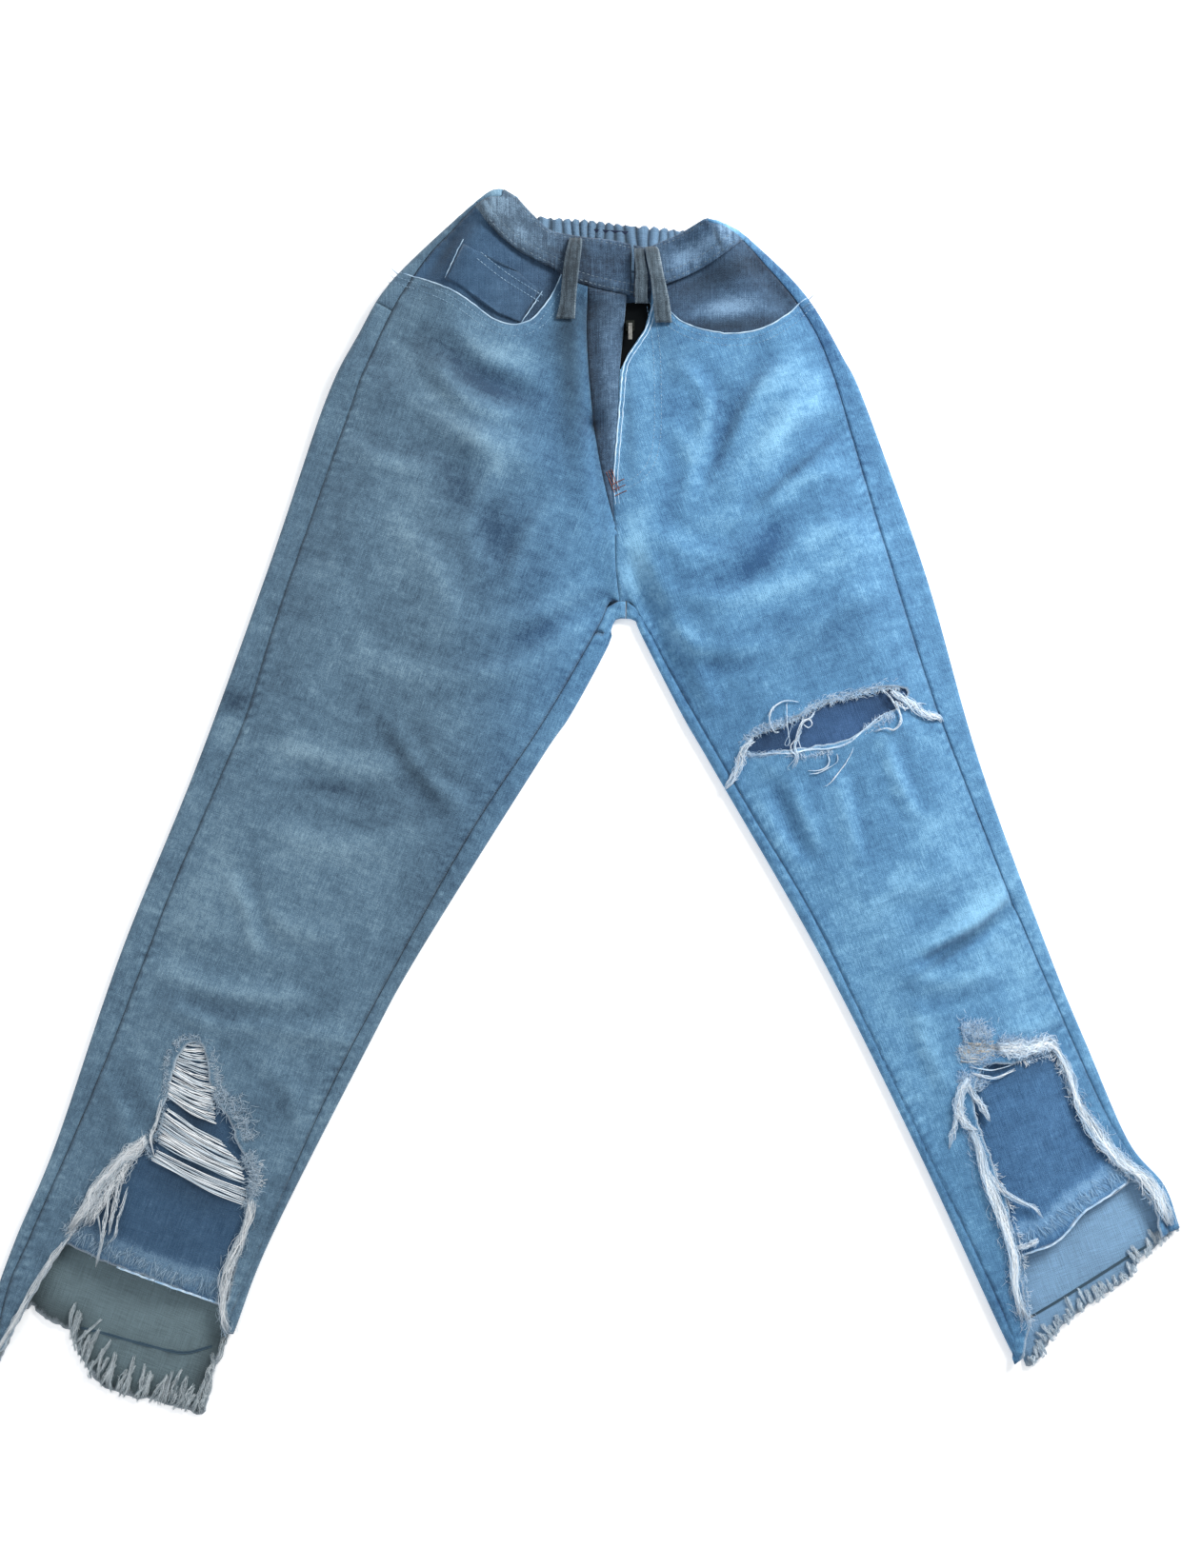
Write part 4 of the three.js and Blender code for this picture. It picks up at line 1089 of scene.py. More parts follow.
RIGHT_LEG = Leg(19.5, -1)
LEFT_LEG = Leg(19.0, 1)
UPRIGHT = Leg(0.0, 1)


def add_object(name: str, data: bpy.types.ID) -> bpy.types.Object:
    """Links a new object to the scene."""
    thing = bpy.data.objects.new(name, data)
    bpy.context.scene.collection.objects.link(thing)
    return thing


class Tailor:
    """Cuts the cloth to the relief, and puts each finished piece in its place."""

    def __init__(self, relief: Relief, finishes: dict[str, bpy.types.Material]) -> None:
        """Holds the relief that the cloth follows, and the finishes by name."""
        self.relief = relief
        self.finishes = finishes

    @staticmethod
    def wear(xy: Array) -> Array:
        """How worn the cloth is at points, with painted highlights and shade along creases added in."""
        return 0.42 + 0.5 * np.sum([fade.value(xy) for fade in WEAR_AND_LIGHT], axis=0)

    def dress(self, sheet: Sheet, leg: Leg, torn: Sequence[Curve] = (),
              shadows: Sequence[FadeAndShade] = ()) -> Sheet:
        """Stores what the denim finish reads.

        Args:
            sheet: the cloth.
            leg: whose grain it follows.
            torn: edges along which it frays.
            shadows: places that lie in the shade.

        Returns:
            The same sheet.
        """
        xy = sheet.points[:, :2]
        u, v = leg.grain(xy)
        sheet.mark("grain_u", u).mark("grain_v", v).mark("side", xy[:, 0]).mark("wear", self.wear(xy))
        # Painted light that follows the relief: paler on crease and fold ridges, darker in their troughs.
        large = np.sum([fold.height(xy) for fold in FOLDS[3:]], axis=0)
        sheet.mark("crest", np.clip(self.relief.creases(xy) / 2.2 + large / 9, -1, 1))
        distance, marks = self.relief.seam_marks(xy)
        sheet.mark("pucker", marks).mark("seam", bell(distance, 1.9))
        fray = np.zeros(len(xy))
        for line in torn:
            fray = np.maximum(fray, bell(line.distance(xy), 2.4))
        shade = np.sum([s.value(xy) for s in shadows], axis=0) if shadows else 0.0
        return sheet.mark("fray", fray).mark("shade", np.clip(shade, 0, 0.8))

    def cut(self, keep: Sequence[Array], remove: Sequence[Array] = (), depth: float = 0.0,
            thick: float = DENIM, leg: Leg = UPRIGHT, torn: Sequence[Curve] = (), step: float = FRONT_STEP,
            shape: Callable[[Array], Array] | None = None, shadows: Sequence[FadeAndShade] = ()) -> Sheet:
        """Cuts a piece of the upper layers.

        Args:
            keep: outlines that it lies inside.
            remove: outlines cut out of it.
            depth: how far it lies under the upper face of the front.
            thick: its thickness.
            leg: whose grain it follows.
            torn: edges along which it frays.
            step: spacing of its mesh.
            shape: what to add to the height at points.
            shadows: places that lie in the shade.

        Returns:
            The closed piece.
        """
        xy, faces = plate(keep, remove, step)
        z = self.relief.height(xy) - depth
        if shape:
            z = z + shape(xy)
        sheet = self.dress(Sheet(np.column_stack([xy, z]), faces), leg, torn, shadows)
        return sheet.thickened(thick)

    def place(self, name: str, sheet: Sheet, finish: str, slot: Slot, nodes: Sequence[str] = ()) -> None:
        """Makes a piece of the scene from a sheet.

        Args:
            name: the object's name.
            sheet: its mesh, in drafting millimetres.
            finish: the name of its finish.
            slot: the material slot meant for it; not used.
            nodes: the CAD nodes that it stands for.
        """
        mesh = bpy.data.meshes.new(name)
        points = (sheet.points - (*ORIGIN, 0.0)) * MM
        points[:, 2] = np.maximum(points[:, 2], CLEAR_OF_FLOOR)
        mesh.from_pydata(points.tolist(), [], sheet.faces)
        for key, values in sheet.marks.items():
            mesh.attributes.new(key, "FLOAT", "POINT").data.foreach_set("value", values.astype(np.float32))
        mesh.polygons.foreach_set("use_smooth", np.ones(len(mesh.polygons), bool))
        mesh.materials.append(self.finishes[finish])
        thing = add_object(name, mesh)
        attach(thing, BODY)
        if nodes:
            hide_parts(*nodes)
        log.info("%s: %d points, %d faces", name, len(sheet.points), len(sheet.faces))

    def cloth(self, node: str, sheet: Sheet, finish: str = "denim", slot: Slot = Slot.DENIM) -> None:
        """Places the cloth that stands for one CAD node."""
        self.place(f"{node}_cloth", sheet, finish, slot, [node])


def line_between(points: Array, start: Sequence[float], end: Sequence[float]) -> Array:
    """The stretch of a line between its points nearest to two places, in that order."""
    a = int(np.linalg.norm(points - start, axis=1).argmin())
    b = int(np.linalg.norm(points - end, axis=1).argmin())
    return points[a:b + 1] if a <= b else points[b:a + 1][::-1]


def outline_of(*parts: Array | Sequence[Point]) -> Array:
    """Stretches of line joined into one outline, without doubled points."""
    points = np.vstack([np.asarray(p, float) for p in parts])
    keep = np.linalg.norm(points - np.roll(points, 1, 0), axis=1) > 0.05
    return points[keep]


ROWS = ((3.2,), (3.0, 9.5))  # how far the band's rows of stitching lie from its top edge and from its seam

LOWER_BANDS = (  # where the shin patches are paler and fray, along the middle of the band
    ((-418, -351), (-393, -362), (-362, -374), (-325, -388), (-283, -400)),
    ((334, -360), (357, -352), (376, -337), (396, -323), (423, -307)),
)


class Front:
    """The upper layers: front panels, fly, waistband, pockets and the patches under the tears."""

    def __init__(self, tailor: Tailor) -> None:
        """Runs the lines that its pieces are cut along."""
        self.tailor = tailor
        self.outseam = [Curve(OUTSEAM_RIGHT, 5.0), Curve(OUTSEAM_LEFT, 5.0)]
        self.inseam = [Curve(INSEAM_RIGHT, 5.0), Curve(INSEAM_LEFT, 5.0)]
        self.centre = Curve(CENTRE_FRONT, 5.0)
        self.placket = Curve(PLACKET_SEAM, 5.0)
        self.band_seam = Curve(BAND_SEAM, 4.0)
        self.band_top = Curve(BAND_TOP, 4.0)
        self.tears = [Curve.over(ragged(Curve(w, 3.0, True).points, 0.9, seed))
                      for seed, w in enumerate((WINDOW_RIGHT, WINDOW_LEFT, SLASH))]
        self.pockets = [Curve(POCKET_EDGE_RIGHT, 4.0), Curve(POCKET_EDGE_LEFT, 4.0)]
        self.band_edge = Curve.over(outline_of(self.band_top.points, self.band_seam.moved(HALF_GAP)[::-1]))

    def below_band(self) -> Array:
        """Outline of all that is below the waistband."""
        return outline_of(self.band_seam.moved(-HALF_GAP), FAR_BELOW)

    def whole(self) -> Array:
        """Outline of the upper side between the seams."""
        return outline_of(self.outseam[0].points, self.inseam[0].points[::-1], self.inseam[1].points,
                          self.outseam[1].points[::-1], [(97, 560), (-73, 560)])

    def curl(self, xy: Array) -> Array:
        """How far the cloth curls up at torn edges."""
        out = np.zeros(len(xy))
        for k, line in enumerate(self.tears):
            along, off = line.locate(xy)
            lift = 0.9 + 0.7 * np.sin(along / 11 + k) + 0.5 * np.sin(along / 4.3)
            out += lift * bell(off, 4.5)
        return out

    def panels(self) -> None:
        """Both front panels and the fly placket."""
        t = self.tailor
        centre, gap = self.centre.points, (HALF_GAP, 0)
        low = centre[centre[:, 1] < FLY_FOOT]
        high = centre[centre[:, 1] >= FLY_FOOT]
        right = outline_of(self.outseam[0].points, self.inseam[0].points[::-1], low[::-1] - gap,
                           self.placket.moved(-HALF_GAP)[::-1], [(-2, 560), (-73, 560)])
        left = outline_of(centre + gap, self.inseam[1].points, self.outseam[1].points[::-1],
                          [(97, 560), (34, 560)])
        fly = outline_of(self.placket.moved(HALF_GAP), high[::-1] - gap, [(32, 440), (-2, 440)])
        pocket_right = outline_of(self.pockets[0].points, [(-60, 520), (-170, 520)])
        pocket_left = outline_of(self.pockets[1].points, [(190, 500), (54, 500)])
        opening = np.array(FLY_GAP, float)
        torn = [tear.points for tear in self.tears]
        below = self.below_band()
        for name, keep, cuts, leg, finish in (
            ("front_right", right, (torn[0], pocket_right), RIGHT_LEG, "denim"),
            ("front_left", left, (torn[1], torn[2], pocket_left, opening), LEFT_LEG, "denim"),
            ("fly_placket", fly, (opening,), UPRIGHT, "dark"),
        ):
            sheet = t.cut((keep, below), cuts, leg=leg, torn=self.tears, shape=self.curl, shadows=SHADOWS)
            t.cloth(name, sheet, finish)

    def band_lift(self, xy: Array) -> Array:
        """How far the band stands over the front, with the puckers along its two rows of stitching."""
        edge = np.minimum(self.band_edge.distance(xy) / 3.0, 1)
        lift = 1.6 - 1.1 * (1 - edge) ** 2
        for k, line in enumerate((self.band_top, self.band_seam)):
            along, off = line.locate(xy)
            fine = 0.75 * np.sin(along / 1.55 + 2 * np.sin(along / 17) + k)
            broad = 0.5 * np.sin(along / 6.1 + off / 5)
            lift += 0.6 * (fine + broad) * bell(np.abs(off) - 6, 3.4)
            for row in ROWS[k]:
                lift -= 0.55 * bell(np.abs(off) - row, 0.9)
        return lift

    def band(self) -> None:
        """The front of the waistband, in two halves."""
        t = self.tailor
        closure = Curve(BAND_CLOSURE, 4.0)
        halves = {
            "waistband_front_right": outline_of(closure.moved(-1.25), [(-300, 380), (-300, 560), (34, 560)]),
            "waistband_front_left": outline_of(closure.moved(1.25), [(300, 380), (300, 560), (36, 560)]),
        }
        for name, half in halves.items():
            keep = (self.band_edge.points, half, self.whole())
            sheet = t.cut(keep, thick=2.8, step=1.8, shape=self.band_lift, shadows=BAND_SHADOWS)
            t.cloth(name, sheet, "dark")

    def under(self) -> None:
        """What lies under the front panels: facings, coin pocket, patches and zip tape."""
        t = self.tailor
        whole = self.whole()
        below = outline_of(self.band_seam.moved(9.0), FAR_BELOW)

        def sewn(xy: Array) -> Array:
            """Comes up to the side seams, into which it is sewn."""
            near = np.min([seam.distance(xy) for seam in self.outseam], axis=0)
            return 2.9 * bell(near, 5.0)

        tops = (((-10, 470), (-120, 500), (-180, 470)), ((200, 430), (150, 490), (40, 450)))
        for side, edge, top in zip(("right", "left"), self.pockets, tops, strict=True):
            outline = outline_of(edge.moved(-13), top)
            sheet = t.cut((outline, below, whole), depth=3.3, shape=sewn, shadows=FACING_SHADOWS)
            t.cloth(f"pocket_facing_{side}", sheet, "facing", Slot.INSIDE)
        coin = t.cut((np.array(COIN_POCKET, float), below), depth=1.8, thick=1.2, step=2.5,
                     shadows=FACING_SHADOWS)
        t.cloth("coin_pocket", coin, "facing", Slot.INSIDE)
        for name, outline, leg, finish in (
            ("shin_patch_right", SHIN_PATCH_RIGHT, RIGHT_LEG, "patch"),
            ("shin_patch_left", SHIN_PATCH_LEFT, LEFT_LEG, "patch"),
            ("knee_patch", KNEE_PATCH, LEFT_LEG, "slash"),
        ):
            edge = ragged(Curve(outline, 3.0, True).points, 0.8, 5)
            sheet = t.cut((edge,), depth=1.8, thick=1.1, leg=leg, torn=[Curve.over(edge)],
                          shadows=UNDER_SHADOWS)
            xy = sheet.points[:, :2]
            for lower in LOWER_BANDS:
                line = Curve(lower, 4.0)
                sheet.marks["wear"] += 1.0 * np.exp(-(line.distance(xy) / 10.5) ** 4)
            t.cloth(name, sheet, finish, Slot.PATCH)
        tape = np.array(((12, 402), (12, 300), (50, 300), (60, 402)), float)
        t.cloth("zip_tape", t.cut((tape,), depth=1.8, thick=1.0, step=2.5), "tape", Slot.TAPE)


class Back:
    """The back layer: it lies on the ground, and its folded sides come up round the edges to the seams."""

    def __init__(self, tailor: Tailor) -> None:
        """Runs the seams."""
        self.tailor = tailor
        self.relief = tailor.relief
        self.yoke = Curve(YOKE_SEAM, 5.0)
        self.band_seam = Curve(BACK_BAND_SEAM, 4.0)
        self.band_top = Curve(BACK_BAND_TOP, 2.0)
        self.centre = Curve(CENTRE_BACK, 5.0)
        crotch = outline_of(Curve(INSEAM_RIGHT, 5.0).points[::-1], Curve(INSEAM_LEFT, 5.0).points)
        self.sides = {
            "outer_right": (Curve(OUTER_RIGHT, 4.0), Curve(OUTSEAM_RIGHT, 5.0).points, 1),
            "outer_left": (Curve(OUTER_LEFT, 4.0), Curve(OUTSEAM_LEFT, 5.0).points, -1),
            "inner_right": (Curve(INNER_RIGHT, 4.0), crotch, -1),
            "inner_left": (Curve(INNER_LEFT, 4.0), crotch, 1),
        }

    @staticmethod
    def ground(xy: Array) -> Array:
        """Height of the outer face of the cloth that lies on the ground."""
        x, y = xy[:, 0], xy[:, 1]
        inside_x = smooth(np.minimum(x + 190, 232 - x) / 28)
        inside_y = smooth(np.minimum(y - 176, 400 - y) / 28)
        return 0.05 + 1.65 * inside_x * inside_y

    @staticmethod
    def reach(base: Array, inward: Array, seam: Array) -> Array:
        """Distance from points along their normals to the seam."""
        a, b = seam[:-1], seam[1:]
        out = np.full(len(base), np.nan)
        for i, (p, n) in enumerate(zip(base, inward, strict=True)):
            d = b - a
            det = d[:, 0] * n[1] - d[:, 1] * n[0]
            det = np.where(np.abs(det) < TINY, TINY, det)
            along = ((p[0] - a[:, 0]) * n[1] - (p[1] - a[:, 1]) * n[0]) / det
            t = (d[:, 1] * (p[0] - a[:, 0]) - d[:, 0] * (p[1] - a[:, 1])) / det
            hit = t[(along >= -0.02) & (along <= 1.02) & (t > 0) & (t < 60)]
            if len(hit):
                out[i] = hit.min()
        known = np.flatnonzero(~np.isnan(out))
        return np.interp(np.arange(len(out)), known, out[known])

    def strip(self, side: str, first: int, last: int) -> tuple[Sheet, Array]:
        """The folded side of the cloth between two stations.

        Args:
            side: which outline it follows.
            first: the first station.
            last: the last station, counted from 0.

        Returns:
            The strip, facing out, and the line where it meets the ground part.
        """
        curve, seam, way = self.sides[side]
        inward = curve.normals() * way
        reach = self.reach(curve.points, inward, seam)
        base = curve.points.copy()
        along = np.gradient(base, axis=0)
        along /= np.linalg.norm(along, axis=1, keepdims=True)
        base[first] += along[first] * HALF_GAP
        base[last] -= along[last] * HALF_GAP
        rows = slice(first, last + 1)
        base, inward, reach = base[rows], inward[rows], reach[rows] - SEAM_GAP
        left = np.maximum(reach, FOLD_RADIUS + 1) - FOLD_RADIUS
        rest = FOLD_RADIUS + left[:, None] * np.linspace(0, 1, 8)
        away = np.hstack([np.tile(FOLD_LOWER + FOLD_UPPER, (len(base), 1)), rest])
        flat = (base[:, None] + inward[:, None] * away[..., None]).reshape(-1, 2)
        middle = self.relief.low(np.repeat(base[:, 1], away.shape[1])) / 2
        d = away.reshape(-1)
        low = self.ground(flat)
        under = low + (middle - low) * (1 - round_off(d))
        over = self.relief.height(flat)
        column = np.tile(np.arange(away.shape[1]), len(base))
        edge = len(FOLD_LOWER)
        z = np.where(column < edge, under, np.where(column == edge, middle, over))
        points = np.column_stack([flat, z])
        n = away.shape[1]
        line = points[::n, :2].astype(np.float32).astype(float)
        points[::n] = np.column_stack([line, self.ground(line)])
        faces = quads(len(base), n)
        return Sheet(points, faces if way > 0 else [f[::-1] for f in faces]), line

    @staticmethod
    def weld(sheet: Sheet) -> Sheet:
        """Joins points that lie in the same place."""
        keys = np.round(sheet.points, 3)
        _, first, new = np.unique(keys, axis=0, return_index=True, return_inverse=True)
        new = new.reshape(-1)
        faces = []
        for f in sheet.faces:
            g = tuple(int(new[i]) for i in f)
            if len(set(g)) == len(g):
                faces.append(g)
            elif len(set(g)) == 3:
                faces.append(tuple(dict.fromkeys(g)))
        return Sheet(sheet.points[first], faces, {n: v[first] for n, v in sheet.marks.items()})

    def floor(self, outline: Array, step: float = BACK_STEP,
              extra: Callable[[Array], Array] | None = None) -> Sheet:
        """The part on the ground, facing down."""
        exact = outline.astype(np.float32).astype(float)
        xy, faces = plate((exact,), (), step)
        z = self.ground(xy)
        if extra:
            z = z + extra(xy)
        return Sheet(np.column_stack([xy, z]), [f[::-1] for f in faces])

    def pin(self, sheet: Sheet, line: Array) -> None:
        """Sets a sheet's points that lie on the line of a fold to the fold's height there."""
        keys = {tuple(p) for p in np.round(line, 4)}
        xy = sheet.points[:, :2]
        on_line = np.array([tuple(p) in keys for p in np.round(xy, 4)])
        sheet.points[on_line, 2] = self.ground(xy)[on_line]

    def station(self, side: str, seam: Curve) -> int:
        """The station of an outline that a seam crosses."""
        return int(seam.distance(self.sides[side][0].points).argmin())

    def panel(self, way: str, hem: Sequence[Point], stitch: Sequence[Point], leg: Leg) -> None:
        """One leg's back panel.

        Args:
            way: "right" or "left".
            hem: points of its torn end, from the outer side to the inner one.
            stitch: the line of stitching across it above the torn end.
            leg: whose grain it follows.
        """
        start = self.station(f"outer_{way}", self.yoke)
        outer, outer_line = self.strip(f"outer_{way}", start, len(self.sides[f"outer_{way}"][0].points) - 1)
        inner, inner_line = self.strip(f"inner_{way}", 0, len(self.sides[f"inner_{way}"][0].points) - 1)
        shift = (-HALF_GAP, 0) if way == "right" else (HALF_GAP, 0)
        centre = line_between(self.centre.points, SEAT_POINT, YOKE_POINT)[1:] + shift
        seam = line_between(self.yoke.moved(-HALF_GAP), YOKE_MIDDLE, outer_line[0])[:-2]
        rough = ragged(Curve(hem, 3.0).points, 1.6, 3)[3:-3]
        outline = outline_of(outer_line, rough, inner_line[::-1], centre, seam)
        torn = Curve.over(rough, False)
        stitched = Curve(stitch, 5.0)
        edge = Curve.over(outline)

        def ripple(xy: Array) -> Array:
            """Lies a little uneven, and turns up at the torn end."""
            calm = smooth((edge.distance(xy) - 4) / 22)
            lift = bell(torn.distance(xy), 9) * (1.2 + np.sin(xy[:, 0] / 5.3))
            ridge = 1.3 * bell(stitched.distance(xy) - 3.5, 2.2)
            return calm * ((0.5 + 0.5 * np.sin(xy[:, 0] / 19 + np.sin(xy[:, 1] / 27))) * 0.9 + ridge) + lift

        low = self.floor(outline, extra=ripple)
        self.pin(low, np.vstack([outer_line, inner_line]))
        sheet = self.weld(low.joined(outer).joined(inner))
        sheet = self.tailor.dress(sheet, leg, [torn])
        xy = sheet.points[:, :2]
        on_ground = sheet.points[:, 2] < GROUND_TOP
        # Painted shade on the cloth on the ground near the torn hem, and beside the fold at its stitching.
        deep, wide = (0.66, 17.0) if way == "right" else (0.40, 11.0)
        hem_shade = deep * bell(torn.distance(xy), wide) * on_ground
        below = 0.16 * bell(stitched.distance(xy) - 1, 9) * on_ground
        sheet.marks["shade"] = np.maximum(sheet.marks["shade"], np.maximum(hem_shade, below))
        self.tailor.cloth(f"back_{way}", sheet.thickened(DENIM))
        # Dark strands along the hem's stitching: the stitching, painted darker to stand for the shade of the
        # fold there.
        line = stitched.points
        paths = np.stack([np.column_stack([line + (0, off), self.ground(line) + ripple(line) + 2.2])
                          for off in (0.0, -1.1)])
        self.tailor.place(f"hem_line_{way}", strands(paths, 0.62, 5, 0.6, 3), "hem_line", Slot.DENIM)

    def yoke_half(self, way: str) -> None:
        """One half of the yoke."""
        side = f"outer_{way}"
        top, bottom = self.station(side, self.band_seam), self.station(side, self.yoke)
        fold, line = self.strip(side, top, bottom)
        shift = -HALF_GAP if way == "right" else HALF_GAP
        lower = line_between(self.yoke.moved(HALF_GAP), line[-1], YOKE_MIDDLE)[2:]
        upper = line_between(self.band_seam.moved(-HALF_GAP), WAIST_POINT, line[0])[:-2]
        lower[-1, 0] = upper[0, 0] = YOKE_MIDDLE[0] + shift
        sheet = self.weld(self.floor(outline_of(line, lower, upper)).joined(fold))
        self.tailor.cloth(f"yoke_{way}", self.tailor.dress(sheet, UPRIGHT).thickened(DENIM))

    def band(self) -> None:
        """The back of the waistband, gathered."""
        sides = ("outer_right", "outer_left")
        folds, lines = zip(*[self.strip(side, 0, self.station(side, self.band_seam)) for side in sides],
                           strict=True)
        top = line_between(self.band_top.points, lines[0][0], lines[1][0])[3:-3]
        scallop = np.sin(2 * np.pi * top[:, 0] / 7.5 + 1.4 * np.sin(top[:, 0] / 17))
        top = top + np.column_stack([np.zeros(len(top)), 1.1 * scallop])
        low = line_between(self.band_seam.moved(HALF_GAP), lines[1][-1], lines[0][-1])[2:-2]
        outline = outline_of(lines[0][::-1], top, lines[1], low)

        def wave(xy: Array) -> Array:
            """The gathers across the band, from 0 between them to 1 on them."""
            x, y = xy[:, 0], xy[:, 1]
            turn = 2 * np.pi * x / 8.2 + 2.3 * np.sin(x / 11) + 0.9 * np.sin(y / 9 + x / 7)
            return 0.5 + 0.5 * np.sin(turn)

        def gathers(xy: Array) -> Array:
            """Height of the gathers, which die out at both ends and towards the seam."""
            x, y = xy[:, 0], xy[:, 1]
            strength = 0.72 + 0.28 * np.sin(x / 8 + 2)
            ends = smooth(np.minimum(x + 66, 92 - x) / 16)
            return (0.3 + 3.4 * wave(xy)**1.4 * strength) * ends * smooth((y - 440) / 14)

        floor = self.floor(outline, 2.0, gathers)
        self.pin(floor, np.vstack(lines))
        sheet = self.weld(floor.joined(folds[0]).joined(folds[1]))
        sheet = self.tailor.dress(sheet, UPRIGHT)
        xy = sheet.points[:, :2]
        # Painted shade between the gathers and towards the middle of the band's top.
        upper = smooth((xy[:, 1] - 436) / 10) * (sheet.points[:, 2] < 9)
        dark = 0.75 * (1 - wave(xy)) ** 1.6 + 0.30 * bell(xy[:, 0] - 16, 26)
        sheet.marks["shade"] = np.clip(dark * upper, 0, 0.8)
        self.tailor.cloth("waistband_back", sheet.thickened(2.0), "band_inside")
        outline = np.array(((2, 474), (0, 462), (3, 451), (28, 449), (32, 460), (34, 472)), float)
        label = self.tailor.dress(self.floor(outline, 2.0, lambda p: 1.3 + 0.8 * gathers(p)), UPRIGHT)
        self.tailor.cloth("inner_label", label.thickened(0.7), "label", Slot.LABEL)

    def pockets(self) -> None:
        """Both back pockets, on the ground under the cloth."""
        shape = np.array(((-63, 72), (63, 72), (58, -50), (0, -72), (-58, -50)), float)
        for way, at, turn in (("right", (-88, 285), 0.05), ("left", (128, 285), -0.05)):
            c, s = math.cos(turn), math.sin(turn)
            outline = shape @ np.array([[c, s], [-s, c]]) + at
            xy, faces = plate((outline,), (), 8.0)
            sheet = Sheet(np.column_stack([xy, np.full(len(xy), 1.3)]), faces)
            self.tailor.cloth(f"back_pocket_{way}", self.tailor.dress(sheet, UPRIGHT).thickened(1.25))


class Loops:
    """The belt loops that hang over the front band."""

    RUNS = 33  # rows of points along a loop
    LANES = 9  # and across it

    def __init__(self, tailor: Tailor) -> None:
        """Holds who places them."""
        self.tailor = tailor

    def loop(self, name: str, route: Sequence[Point3], width: float, seed: int) -> None:
        """One loop, from its upper sewn end over the band to its lower one."""
        runs, lanes = self.RUNS, self.LANES
        flat = np.array(route, float)
        flat[:, 2] += self.tailor.relief.height(flat[:, :2], fine=False)
        fine = np.linspace(0, len(flat) - 1, runs)
        path = np.column_stack([catmull(column, fine) for column in flat.T])
        rng = np.random.default_rng(seed)
        across = np.linspace(-0.5, 0.5, lanes)
        sway = 0.4 * np.sin(fine * 2.1 + seed)
        narrow = (1 - 0.10 * np.sin(fine * 1.3 + seed) ** 2) * np.linspace(0.84, 1.16, runs)
        x = path[:, None, 0] + across * width * narrow[:, None] + sway[:, None]
        roll = 0.7 * np.cos(across * np.pi) + 0.25 * np.cos(across * 4 * np.pi)
        z = path[:, None, 2] + roll + rng.normal(0, 0.05, (runs, lanes))
        y = np.repeat(path[:, 1:2], lanes, axis=1)
        points = np.stack([x, y, z], -1).reshape(-1, 3)
        sheet = self.tailor.dress(Sheet(points, quads(runs, lanes)), UPRIGHT)
        sheet.mark("seam", np.tile(bell(np.abs(across) - 0.27, 0.07) * 1.6, runs))
        # painted highlights along the loop's rolled edges
        sheet.mark("crest", np.tile(bell(np.abs(across) - 0.5, 0.10) * 2.2, runs))
        self.tailor.cloth(name, sheet.thickened(1.7), "loop")

    def all(self) -> None:
        """Every loop."""
        right = ((-13, 457, 4.2), (-13, 450, 7), (-16, 425, 8.5), (-19, 400, 6), (-21, 386, 2.6))
        left = ((50, 447, 4.4), (52, 440, 8), (55, 420, 9.5), (58, 400, 7), (61, 382, 2.6))
        twist = ((41, 446, 4.4), (41, 438, 7), (42, 424, 8), (42, 410, 6), (43, 399, 2.6))
        self.loop("belt_loop_right", right, 13.5, 1)
        self.loop("belt_loop_left", left, 12.5, 2)
        self.loop("belt_loop_left_twist", twist, 10.0, 3)


# ------------------------------------------------------------------ loose threads and stitching
@dataclass(frozen=True)
class Tassel:
    """A bundle of loose threads along a line: x, y and the height above the cloth."""

    points: tuple[Point3, ...]
    width: float
    count: int
    twist: float = 0.0
    tip: float = 0.25  # width at its end against its middle
    radius: float = 0.22
    seed: int = 0
    short: float = 0.5  # share of its threads that are short and lie across the others
    steps: int = 18  # points along each thread


@dataclass(frozen=True)
class Fringe:
    """Short threads that stand out from an edge, to its left where `way` is 1."""

    points: tuple[Point, ...]
    way: int
    dense: float  # threads for each millimetre
    length: tuple[float, float]
    slant: float = 0.0  # degrees that they lean along the line
    spread: float = 26.0
    curl: float = 0.35
    lift: float = 0.6
    radius: float = 0.22
    seed: int = 0


@dataclass(frozen=True)
class Fuzz:
    """Teased fibre that lies along a line."""

    points: tuple[Point, ...]
    width: float
    count: int
    length: float = 7.0
    along: float = 0.5  # how far the fibres follow the line, 0 to 1
    lift: float = 1.0
    radius: float = 0.15
    seed: int = 0


@dataclass(frozen=True)
class Weft:
    """Bare weft threads across a tear."""

    rungs: tuple[tuple[Point, Point, int], ...]  # two ends, and the threads to the next rung, 0 for a slit
    sag: float = 1.5
    seed: int = 0


